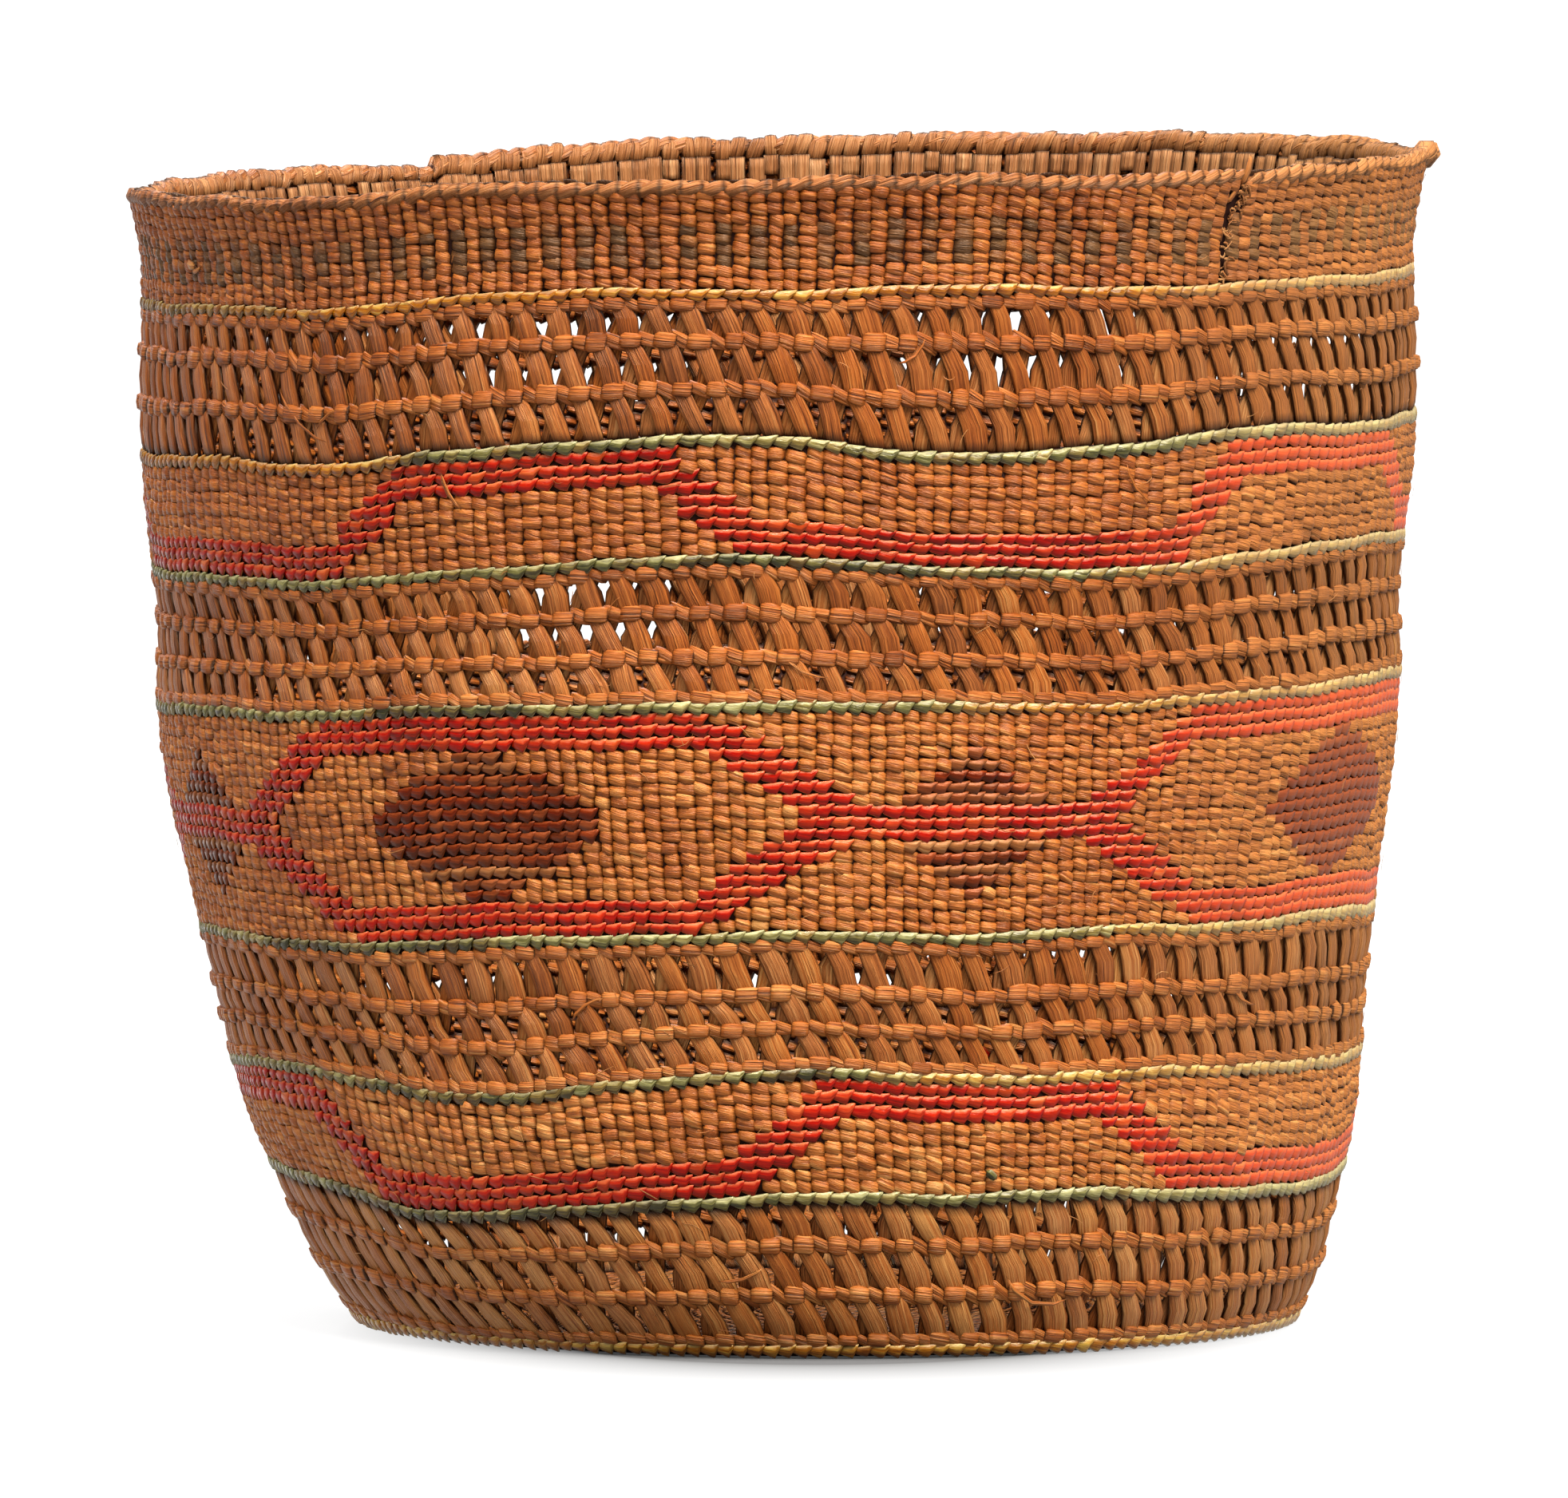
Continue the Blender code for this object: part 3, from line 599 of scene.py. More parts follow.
RED = strand_finish(
    "red grass",
    stops=((0.15, srgb(104, 3, 0)), (0.5, srgb(178, 8, 0)), (0.9, srgb(226, 48, 10))),
    dyed=((0.15, srgb(170, 56, 16)), (0.5, srgb(212, 84, 28)), (0.85, srgb(236, 140, 74))),
    roughness=0.2, shine=0.22, tint=(1, 0.6, 0.45), spread=0.1, painted_light_colour=srgb(255, 160, 100),
    painted_light_share=0.62, grain_depth=0.00012, fading=(srgb(244, 112, 62), 0.75), fibre_share=0.9, glossy=True)
BROWN = strand_finish(
    "brown grass",
    stops=((0.15, srgb(42, 6, 1)), (0.5, srgb(98, 22, 2)), (0.9, srgb(156, 52, 10))),
    dyed=((0.15, srgb(104, 56, 26)), (0.5, srgb(156, 94, 48)), (0.85, srgb(200, 144, 90))),
    roughness=0.2, shine=0.24, tint=(1, 0.5, 0.3), spread=0.1, painted_light_colour=srgb(190, 92, 40), painted_light_share=0.5,
    grain_depth=0.00012, fading=(srgb(168, 88, 54), 0.75), fibre_share=0.9, glossy=True)
LINE = strand_finish(
    "green and gold grass",
    stops=((0.15, srgb(130, 62, 4)), (0.5, srgb(196, 114, 12)), (0.9, srgb(238, 186, 74))),
    dyed=((0.12, srgb(50, 48, 18)), (0.5, srgb(124, 116, 58)), (0.9, srgb(196, 188, 126))),
    roughness=0.16, shine=0.3, tint=(1, 0.92, 0.75), spread=0.12, painted_light_colour=srgb(240, 228, 184),
    painted_light_share=0.4, grain_depth=0.0002, fading=(srgb(230, 208, 144), 0.4), fibre_share=1.5, glossy=True)


def plain_finish(name, colour, roughness):
    """One even colour."""
    finish = Finish(name)
    finish.shader.inputs["Base Color"].default_value = colour
    finish.shader.inputs["Roughness"].default_value = roughness
    finish.shader.inputs["Specular IOR Level"].default_value = 0.1
    return finish.material


# Painted shade: a dark sheet inside the wall that shows as shade through the gaps between strands
CORE = plain_finish("shaded core", srgb(46, 16, 5), 0.8)


# Stitches

# Places round a strand's section in degrees: 0 faces out of the basket, 90 up
AROUND_STITCH = (0, 40, 85, 145, 215, 275, 320)
AROUND_INSIDE = (0, 65, 140, 220, 295)
AROUND_SCALE = (0, 50, 88, 180, 272, 310)
AROUND_WARP = (0, 30, 60, 88, 150, 210, 272, 300, 330)
AROUND_INNER_WARP = (0, 50, 90, 180, 270, 310)

# A root stitch from its tucked left end to its blunt right end
STITCH_ALONG = np.array((-1.15, -0.92, -0.48, 0.05, 0.55, 0.9, 1.08))
STITCH_HALF = np.array((0, 0.76, 0.98, 1.04, 1.02, 0.86, 0))
STITCH_BULGE = np.array((0, 0.42, 0.86, 1.0, 0.97, 0.66, 0))
STITCH_OUT = np.array((-1.4, -0.8, -0.15, 0.05, 0, -0.45, -1.15))
STITCH = (STITCH_ALONG, STITCH_HALF, STITCH_BULGE, STITCH_OUT)

# A bead, blunt at both ends
BEAD = (np.array((-1.0, -0.93, -0.55, 0, 0.55, 0.93, 1.0)), np.array((0, 0.84, 1.0, 1.03, 1.0, 0.84, 0)),
        np.array((0, 0.72, 0.96, 1.0, 0.96, 0.72, 0)), np.array((-1.2, -0.45, 0, 0, 0, -0.45, -1.2)))
INSIDE_ALONG = np.array((-1.05, -0.7, 0, 0.7, 1.05))
INSIDE_HALF = np.array((0, 0.8, 1.0, 0.8, 0))
INSIDE_BULGE = np.array((0, 0.75, 1.0, 0.75, 0))

# A grass scale: its lower and upper edge, from the left end tucked under the scale before it to the slanting
# right edge that lies on the next one
SCALE_ALONG = np.array((-1.5, -1.2, -0.75, -0.2, 0.36, 0.86, 1.22))
SCALE_LOW = np.array((0.2, -0.22, -0.62, -1.0, -1.26, -0.2, 0.86))
SCALE_HIGH = np.array((0.5, 0.8, 0.86, 0.92, 1.0, 1.06, 1.0))
SCALE_BULGE = np.array((0, 0.6, 0.9, 1.0, 0.95, 0.7, 0))
SCALE_OUT = np.array((-0.6, -0.38, -0.15, 0.0, 0.12, 0.24, 0.28))


# Layers of strands: depth of their middle behind the wall's outer face, and how far they bulge
STITCH_LAYER = (1.1 * MM, 1.1 * MM)
SCALE_LAYER = (0.7 * MM, 0.62 * MM)
ROW_LAYER = (0.5 * MM, 0.75 * MM)
INSIDE_LAYER = (1.75 * MM, 0.7 * MM)
ROW_INSIDE_LAYER = (1.9 * MM, 0.7 * MM)
WEFT_INSIDE_LAYER = (2.2 * MM, 0.7 * MM)
BEAD_LAYER = (0.5 * MM, 1.1 * MM)
LINK_LAYER = (0.95 * MM, 0.85 * MM)
UNDER_LAYER = (1.05 * MM, 0.8 * MM)
SMALL_BEAD_LAYER = (0.6 * MM, 0.95 * MM)
SMALL_LINK_LAYER = (0.85 * MM, 0.8 * MM)
CORE_STEPS = 240
CORE_DEPTH = 0.9 * MM
CORE_THICKNESS = 0.9 * MM
ROW_CORE_THICKNESS = 1.0 * MM

# How uneven the weave is: column widths and their limits, row edges, and places, as shares of a cell
COLUMN_SPREAD = 0.055
COLUMN_LIMITS = (0.72, 1.32)
ROW_SPREAD = 0.05
STAGGER = 0.09
SIZE_SPREAD = 0.07

# Width and height of the strands as shares of their cells, more than 1 where neighbours press on each other
STITCH_COVER = 1.24
BAND_COVER = 1.29
RIM_COVER = 1.2
STITCH_FILL = 1.2
INSIDE_COVER = 1.15
INSIDE_FILL = 1.12
SCALE_COVER = 1.12
SCALE_FILL = 1.08
ROW_FILL = 1.12

# How steeply strands fall to the right, as a share of their height for each half width
STITCH_SLANT = 0.24
INSIDE_SLANT = 0.2
BEAD_SLANT = 0.06
SMALL_BEAD_SLANT = 0.12
SMALL_LINK_SLANT = 0.4
LINK_SLANT = 0.6


def uneven_edges(count, seed):
    """Angles of the edges of a band's columns, whose widths differ a little."""
    widths = np.clip(np.random.default_rng(seed).normal(1, COLUMN_SPREAD, count), *COLUMN_LIMITS)
    edges = np.concatenate(([0], np.cumsum(widths)))
    return edges / edges[-1] * TURN - math.pi


def cells(count, rows, foot, top, seed):
    """Every cell of a band: column, row from the top, centre angle, angular width, height and row height."""
    rng = np.random.default_rng(seed)
    edges = uneven_edges(count, seed + 1)
    column = np.tile(np.arange(count), rows)
    row = np.repeat(np.arange(rows), count)
    row_edges = np.arange(rows + 1.0)
    row_edges[1:-1] += rng.normal(0, ROW_SPREAD, rows - 1)
    row_edges = top - row_edges / rows * (top - foot)
    angle = (edges[column] + edges[column + 1]) / 2
    width = edges[column + 1] - edges[column]
    angle = angle + rng.normal(0, ROW_SPREAD, len(angle)) * TURN / count
    wave = ROW_SPREAD * np.sin(angle * rng.integers(4, 12, rows)[row] + rng.uniform(0, TURN, rows)[row])
    tall = row_edges[row] - row_edges[row + 1]
    height = (row_edges[row] + row_edges[row + 1]) / 2 + wave * tall * (rows > 1)
    return column, row, angle, width, height, tall


def stitches(angle, width, height, tall, depth, bulge, seed, dye=0.0, slant=STITCH_SLANT, form=STITCH,
             cover=STITCH_COVER):
    """Root stitches that cover cells of a band: grains that start high and tucked in on the left and end
    lower on the right, each a little different. The form gives their stations along, their half height,
    their bulge and how far out they stand."""
    rng = np.random.default_rng(seed)
    count = len(angle)
    stations, halves, bulges, outs = form
    long = width / 2 * cover * rng.normal(1, SIZE_SPREAD, count)
    half = tall / 2 * rng.normal(STITCH_FILL, SIZE_SPREAD, count)
    swell = bulge * rng.normal(1, 0.12, count)
    slope = slant * rng.normal(1, 0.3, count)
    tone = np.clip(rng.normal(0, 0.42, count), -1.5, 1.5)
    grid = (count, len(stations))
    along = (stations + rng.normal(0, 0.03, grid) * (bulges > 0)) * long[:, None]
    drop = -stations * (slope * tall)[:, None]
    belly = halves * (1 + rng.normal(0, 0.06, grid))
    return strands(worn, angle[:, None] + along, height[:, None] + drop,
                   -depth + outs * swell[:, None] * 0.6, 0.1 * long[:, None] * (halves > 0),
                   belly * half[:, None], bulges * swell[:, None], along * wall_radius(height)[:, None],
                   AROUND_STITCH, tone, dye, square=0.6, heavy=1)


def inside_stitches(angle, width, height, tall, depth, bulge, seed):
    """Stitches seen from inside the basket: plain grains that bulge inwards."""
    rng = np.random.default_rng(seed)
    count = len(angle)
    long = width / 2 * INSIDE_COVER * rng.normal(1, 0.05, count)
    half = tall / 2 * rng.normal(INSIDE_FILL, 0.06, count)
    tone = np.clip(rng.normal(-0.3, 0.8, count), -2, 4)
    along = INSIDE_ALONG * long[:, None]
    drop = INSIDE_ALONG * (INSIDE_SLANT * tall)[:, None]
    return strands(worn, angle[:, None] + along, height[:, None] + drop, -depth, 0.0,
                   INSIDE_HALF * half[:, None], -INSIDE_BULGE * bulge,
                   along * wall_radius(height)[:, None], AROUND_INSIDE, tone)


def scales(angle, width, height, tall, depth, bulge, seed, dye=0.0, fill=SCALE_FILL):
    """Grass scales over cells: leaves with a straight upper edge and a belly below, whose slanting right
    edge lies over the tucked end of the next one."""
    rng = np.random.default_rng(seed)
    count = len(angle)
    long = width / 2 * SCALE_COVER * rng.normal(1, 0.05, count)
    half = tall / 2 * fill * rng.normal(1, 0.05, count)
    swell = bulge * rng.normal(1, 0.1, count)
    tone = np.clip(rng.normal(0, 0.6, count), -1.5, 1.5)
    grid = (count, len(SCALE_ALONG))
    along = SCALE_ALONG * long[:, None] + rng.normal(0, 0.04, grid) * long[:, None]
    low = SCALE_LOW + rng.normal(0, 0.05, grid)
    high = SCALE_HIGH + rng.normal(0, 0.03, grid)
    middle = (low + high) / 2
    reach = (high - low) / 2 * (SCALE_BULGE > 0)
    tilt = (rng.normal(0, 0.05, count) * tall / width)[:, None] * along
    return strands(worn, angle[:, None] + along, height[:, None] + middle * half[:, None] + tilt,
                   -depth + SCALE_OUT * swell[:, None] * 0.75, 0.2 * long[:, None] * (reach > 0),
                   reach * half[:, None], SCALE_BULGE * swell[:, None],
                   along * wall_radius(height)[:, None], AROUND_SCALE, tone, dye, back=0.2, square=0.6,
                   heavy=-1)


def core(name, foot, top, depth, thickness, divisions, nodes):
    """A closed ring inside the wall, a dark sheet of painted shade that shows through the gaps: the outline
    between two heights, turned, with a flat back.
    """
    steps = CORE_STEPS
    heights = np.linspace(foot, top, divisions + 1)
    profile = [(height, depth) for height in heights]
    profile += [(height, depth + thickness) for height in heights[::-1]]
    height, inwards = np.array(profile).T
    angle = np.arange(steps) / steps * TURN
    grid_angle, grid_height = np.meshgrid(angle, height, indexing="ij")
    points = worn(grid_angle, np.broadcast_to(inwards, grid_height.shape), grid_height)
    index = np.arange(steps * len(profile)).reshape(steps, len(profile))
    next_step = np.roll(index, -1, axis=0)
    quads = np.stack((index, next_step, np.roll(next_step, -1, axis=1), np.roll(index, -1, axis=1)), axis=-1)
    return piece(name, [ring_batch(points, quads.reshape(-1, 4))], CORE, nodes)


def zigzag_cells(count, rows, runs, step, angle, row):
    """Which cells a three-row zigzag covers: between its upper edge, which joins the runs at the band's top
    and foot by steps of so many columns a row, and its lower edge three rows below."""
    column = step * TURN / count
    drop = rows - RUN_ROWS
    corners = []
    for centre, width in sorted(runs):
        for side in (-1, 1):
            end = math.radians(centre + side * width / 2)
            lower = (end + side * drop * column, -side * column, drop)
            upper = (end, -side * column, 0)
            corners += [lower, upper] if side < 0 else [upper, lower]
    places, skews, levels = np.array(corners).T
    middle = row + 0.5
    top = np.interp(angle, places, levels, period=TURN)
    bottom = np.interp(angle, places + skews, levels + RUN_ROWS, period=TURN)
    return (top < middle) & (middle < bottom)


def columns_off(place, centres, count):
    """Columns to the nearest of the centres, the short way round."""
    off = (place[:, None] - np.array(centres) + count / 2) % count - count / 2
    return np.abs(off).min(axis=1)


def chain_cells(angle, row):
    """Which cells of the middle band are red, which belong to whole and which to halved brown diamonds."""
    rows = BAND_ROWS["middle_band"]
    count = COLUMNS["middle_band"]
    above = rows / 2 - 0.5 - row
    level = np.abs(above)
    place = (angle + math.pi) / TURN * count
    inside = np.max([np.minimum(place + lap - start, end - place - lap)
                     for start, end in HEXAGON_ENDS for lap in (0, count)], axis=0)
    inside = inside * np.where(above > 0, *SIDE_STRETCH)
    outer = np.interp(inside, CORNER_COLUMNS, OUTER_CORNER_ROWS)
    inner = np.interp(inside, CORNER_COLUMNS, INNER_CORNER_ROWS)
    red = (level < outer) & ((inner < level) | (inside < CORNER_COLUMNS[1]))
    half_width, half_height = DIAMOND
    whole = columns_off(place, DIAMOND_PLACES, count) / half_width + (level / half_height) ** 1.5 < 1
    half_width, foot, top = HALF_DIAMOND
    half = columns_off(place, HALF_DIAMOND_PLACES, count) / half_width + (level - foot) / (top - foot) < 1
    return red, whole & ~red, half & (level > foot) & ~red


def chosen(cell, mask):
    """The cells of a band that a mask picks."""
    return tuple(part[mask] for part in cell[2:])


# The tear in the rim band: how far it pushes the columns apart, and over how many columns to each side
TEAR_OPENING = 0.26
TEAR_REACH = 1.6


def tear_angle(height):
    """Where the tear in the rim band runs: it leans to the right and wavers as it rises."""
    foot, top = SPANS["rim_band"]
    share = (height - foot) / (top - foot)
    return np.radians(42.7 + 1.9 * share + 0.35 * np.sin(9 * share))


def band(name, seed):
    """A close-twined band: stitches outside and inside, grass scales in its figure, and a dark core of
    painted shade.
    """
    foot, top = SPANS[name]
    rows = BAND_ROWS[name]
    count = COLUMNS[name]
    cell = cells(count, rows, foot, top + (UNDER_ROPE if name == "rim_band" else 0), seed)
    column, row, angle, width, height, tall = cell
    nominal = (column + 0.5) / count * TURN - math.pi
    label = name.replace("_", " ")
    none = np.zeros(len(angle), bool)
    red, brown, halved = none, none, none
    if name == "middle_band":
        red, whole, halved = chain_cells(nominal, row)
        brown = whole | halved
    elif name == "lower_band":
        red = zigzag_cells(count, rows, LOWER_RUNS, LOWER_STEP, nominal, row)
    elif name == "upper_band":
        red = zigzag_cells(count, rows, UPPER_RUNS, UPPER_STEP, nominal, row)
    dye = np.zeros(len(angle))
    if name == "rim_band":
        rng = np.random.default_rng(seed + 9)
        dark = (row >= 3) & (row < 7) & (column % 2 == 0)
        dye = np.where(dark, np.clip(rng.normal(0.85, 0.2, len(angle)), 0.25, 1), 0.0)
    root = ~(red | brown)
    stagger = np.random.default_rng(seed + 2).normal(0, STAGGER, count)[column] * tall
    moved = (column, row, angle, width, height + stagger, tall)
    if name == "rim_band":
        torn = tear_angle(height)
        off = (angle - torn) / width
        root &= ~((np.abs(off + 0.3) < 0.6) & (row > 0) & (row < 3))
        apart = np.sign(off) * TEAR_OPENING * width * np.exp(-(off / TEAR_REACH) ** 2)
        moved = (column, row, angle + apart, *moved[3:])
    if name == "middle_band":
        parts = ((" upper rows", root & (row < rows / 2)), (" lower rows", root & (row >= rows / 2)))
    else:
        parts = ((" stitches", root),)
    cover = RIM_COVER if name == "rim_band" else BAND_COVER
    for title, mask in parts:
        outside = stitches(*chosen(moved, mask), *STITCH_LAYER, seed + 3, dye[mask], cover=cover)
        piece(label + title, [outside], ROOT, [name])
    if red.any():
        figure = "middle_red_chain" if name == "middle_band" else name.replace("band", "red_zigzag")
        rng = np.random.default_rng(seed + 7)
        pale = np.clip(rng.normal(0.02, 0.16, len(angle)), 0, 1)
        pale = pale + (rng.uniform(0, 1, len(angle)) < 0.05) * 0.6
        piece(figure.replace("_", " ") + " scales",
              [scales(*chosen(cell, red), *SCALE_LAYER, seed + 4, pale[red])], RED, [figure])
    if brown.any():
        nodes = ["%s_%d" % (kind, number + 1) for kind in
                 ("brown_diamond", "upper_half_diamond", "lower_half_diamond")
                 for number in range(len(DIAMOND_PLACES))]
        rng = np.random.default_rng(seed + 8)
        pale = np.where(halved, HALF_PALENESS[row], DIAMOND_PALENESS[row]) + rng.normal(0, 0.07, len(angle))
        grass = scales(*chosen(cell, brown), *SCALE_LAYER, seed + 5, np.clip(pale, 0, 1)[brown])
        piece("brown diamonds", [grass], BROWN, nodes)
    inside = inside_stitches(*cell[2:], *INSIDE_LAYER, seed + 6)
    piece(label + " inside stitches", [inside], ROOT, [name])
    core(label + " core", foot, top, CORE_DEPTH, CORE_THICKNESS, 4, [name])


def share_between(angle, start, end):
    """0 at angles before start, 1 after end, in degrees from the front, smooth between."""
    t = np.clip((np.degrees(angle) - start) / (end - start), 0, 1)
    return t * t * (3 - 2 * t)


def line(name, seed, green, changes, deep):
    """A grass-covered row: scales outside, root stitches inside and a dark core of painted shade. green says
    how green the grass is at the back left; it changes by smooth steps as the angle grows, and is darker in
    the deep stretches."""
    foot, top = SPANS[name]
    cell = cells(COLUMNS[name], 1, foot, top, seed)
    angle = cell[2]
    label = name.replace("_", " ")
    rng = np.random.default_rng(seed + 5)
    green = green + sum(change * share_between(angle, start, end) for start, end, change in changes)
    dye = np.clip(green + rng.normal(0, 0.12, len(angle)), 0, 1)
    grass = scales(*cell[2:], *ROW_LAYER, seed + 2, dye, ROW_FILL)
    for start, end in deep:
        stretch = share_between(angle, start - 1, start + 1) * (1 - share_between(angle, end - 1, end + 1))
        grass["tone"] = grass["tone"] - DARKER * stretch
    piece(label + " scales", [grass], LINE, [name])
    inside = inside_stitches(*cell[2:], *ROW_INSIDE_LAYER, seed + 3)
    piece(label + " inside stitches", [inside], ROOT, [name])
    core(label + " core", foot, top, CORE_DEPTH, ROW_CORE_THICKNESS, 1, [name])


def tiers(section):
    """Heights between which the warps run free: foot, the two weft rows, top."""
    foot, top = SPANS[section]
    low, high = WEFT_SHARES[section]
    return np.array((foot, foot + low * (top - foot), foot + high * (top - foot), top))


# Warp strips: their stations in a tier, how far they wander and bow, in columns, how far they run into the
# rows beside the openwork, how much their half widths differ, in millimetres, and how far they shift to the
# side they step to where they are broad. Then how far out they lie and how thick they are: where pinched,
# and what is added where broad, in millimetres
OUTER_STATIONS = (0.06, 0.17, 0.5, 0.83, 0.94, 1.0)
INNER_STATIONS = (0.12, 0.5, 0.88, 1.0)
WARP_WANDER = 0.12
WARP_BOW = (0.1, 0.12)
WARP_OVERLAP = 0.3 * MM
WARP_SPREAD = 0.22
WARP_SHIFT = 0.3
OUTER_WARP_DEPTH = (-1.25, 0.3)
INNER_WARP_DEPTH = (-1.65, -0.3)
OUTER_WARP_BULGE = (0.55, 0.45)
INNER_WARP_BULGE = (0.4, 0.15)


def warps(section, seed, outer):
    """Split warps of an openwork, every second column. They step about one column a tier, to the right as
    they fall when they lie outside, to the left when inside, and are pinched under the wefts. Between them
    they run with nearly straight sides, broader in some tiers than in others."""
    rng = np.random.default_rng(seed)
    count = COLUMNS[section] // 2
    foot, low, high, top = tiers(section)
    edges = np.array((foot - WARP_OVERLAP, low, high, top + WARP_OVERLAP))
    stations = np.array(OUTER_STATIONS if outer else INNER_STATIONS)
    position = np.unique(np.concatenate((stations, 1 + stations, 2 + stations[:-1])))
    position = np.concatenate(((-0.02, 0.01), position, (2.99, 3.02)))
    height = np.interp(position, np.arange(4), edges)
    tier = np.clip(position, 0, 3)
    share = tier - np.floor(np.minimum(tier, 2.999))
    swell = np.sin(np.pi * np.clip(share, 0, 1)) ** 0.5
    column = TURN / (2 * count)
    start = (2 * np.arange(count) + (0.5 if outer else 1.5)) * column - math.pi
    wander = rng.normal(0, WARP_WANDER, (count, 4))
    drift = np.stack([np.interp(tier, np.arange(4), row) for row in wander])
    radius = wall_radius(height)
    broad, narrow, lightness = (OUTER_WARPS if outer else INNER_WARPS)[section]
    wide = rng.normal(broad, WARP_SPREAD, (count, 3)) * MM
    narrow = narrow * MM
    which = np.clip(np.floor(tier), 0, 2).astype(int)
    half = narrow + (wide[:, which] - narrow) * swell
    ends = np.ones(len(position))
    ends[0] = ends[-1] = 0
    half = half * ends
    side = 1 if outer else -1
    angle = start[:, None] + side * (3 - tier + drift) * column
    angle = angle + side * WARP_SHIFT * (half - narrow * ends) / radius
    bow = rng.normal(*WARP_BOW, (count, 1)) * column * np.sin(np.pi * share)
    angle = angle + side * bow
    depth, added_depth = OUTER_WARP_DEPTH if outer else INNER_WARP_DEPTH
    thickness, added_thickness = OUTER_WARP_BULGE if outer else INNER_WARP_BULGE
    uneven = rng.normal(1, 0.12, (count, 1)) if outer else np.ones((count, 1))
    out = (depth + added_depth * swell) * MM
    bulge = (thickness + added_thickness * swell) * MM * uneven * ends
    tone = np.clip(rng.normal(lightness, 0.9, count), -5, 3.5)
    dye = np.clip(rng.normal(0.1 if outer else 0.3, 0.15, count), 0, 1)
    around = AROUND_WARP if outer else AROUND_INNER_WARP
    return strands(worn, angle, height, out, half / radius, 0.0, bulge, height - foot, around, tone, dye,
                   back=0.5, square=0.7, flat_back=True)


# Weft rows: half height of the row and of its core, and the core's depth and thickness
WEFT_HALF_HEIGHT = 1.16 * MM
WEFT_CORE = 0.4 * MM
WEFT_CORE_DEPTH = 1.0 * MM
WEFT_CORE_THICKNESS = 0.7 * MM

# Bead rows: half height, and distance of the middle from the grass row
SMALL_BEAD_HALF_HEIGHT = 0.95 * MM
SMALL_BEAD_INSET = 0.8 * MM

# The two twisted strands between a weft row's beads: width in columns, their heights as shares of the row's,
# and their places above and below its middle as shares of its half height
LINK_WIDTH = 1.22
LINK_HEIGHTS = (0.62, 0.54)
LINK_PLACES = (0.26, -0.34)


def outer_places(section, tier):
    """Angles of the outer warps at a tier's edge: one column further to the right for each tier down."""
    pairs = COLUMNS[section] // 2
    return (2 * np.arange(pairs) + 0.5 + (3 - tier)) * TURN / COLUMNS[section] - math.pi


def weft_row(section, height, tier, half_height, seed):
    """A weft row of an openwork: large beads over the outer warps, and between them spindles of two twisted
    strands that slant down to the right, with plain grains inside the basket."""
    rng = np.random.default_rng(seed)
    pairs = COLUMNS[section] // 2
    column = TURN / COLUMNS[section]
    angle = outer_places(section, tier)
    level = height + 0.12 * MM * np.sin(11 * angle + seed) + rng.normal(0, 0.1, pairs) * MM
    width = column * rng.normal(1.04, 0.07, pairs)
    tall = 2 * half_height * rng.normal(1, 0.08, pairs)
    beads = stitches(angle, width, level, tall, *BEAD_LAYER, seed + 1, 0.0, BEAD_SLANT, BEAD)
    link_angle = angle + column
    between = (level + np.roll(level, -1)) / 2
    long = np.full(pairs, column * LINK_WIDTH)
    slope = rng.normal(LINK_SLANT, 0.1)
    links = stitches(link_angle, long, between + LINK_PLACES[0] * half_height, tall * LINK_HEIGHTS[0],
                     *LINK_LAYER, seed + 2, 0.0, slope)
    under = stitches(link_angle - 0.05 * column, long, between + LINK_PLACES[1] * half_height,
                     tall * LINK_HEIGHTS[1], *UNDER_LAYER, seed + 3, 0.0, slope)
    both = np.concatenate((angle, link_angle))
    inside = inside_stitches(both, np.full(2 * pairs, column), np.tile(level, 2),
                             np.full(2 * pairs, 1.8 * half_height), *WEFT_INSIDE_LAYER, seed + 4)
    return [beads, links, under, inside]


def bead_row(section, at_top, seed):
    """A row of small beads that binds the warps next to a grass line."""
    rng = np.random.default_rng(seed)
    foot, top = SPANS[section]
    pairs = COLUMNS[section] // 2
    column = TURN / COLUMNS[section]
    height = top - SMALL_BEAD_INSET if at_top else foot + SMALL_BEAD_INSET
    angle = outer_places(section, 3 if at_top else 0)
    width = np.full(pairs, column * 1.1)
    tall = np.full(pairs, 2 * SMALL_BEAD_HALF_HEIGHT)
    level = height + rng.normal(0, 0.05, pairs) * MM
    over = stitches(angle, width, level, tall, *SMALL_BEAD_LAYER, seed + 1, 0.0, SMALL_BEAD_SLANT, BEAD)
    link = stitches(angle + column, width, level, tall * 0.85, *SMALL_LINK_LAYER, seed + 2, 0.05,
                    SMALL_LINK_SLANT)
    return [over, link]


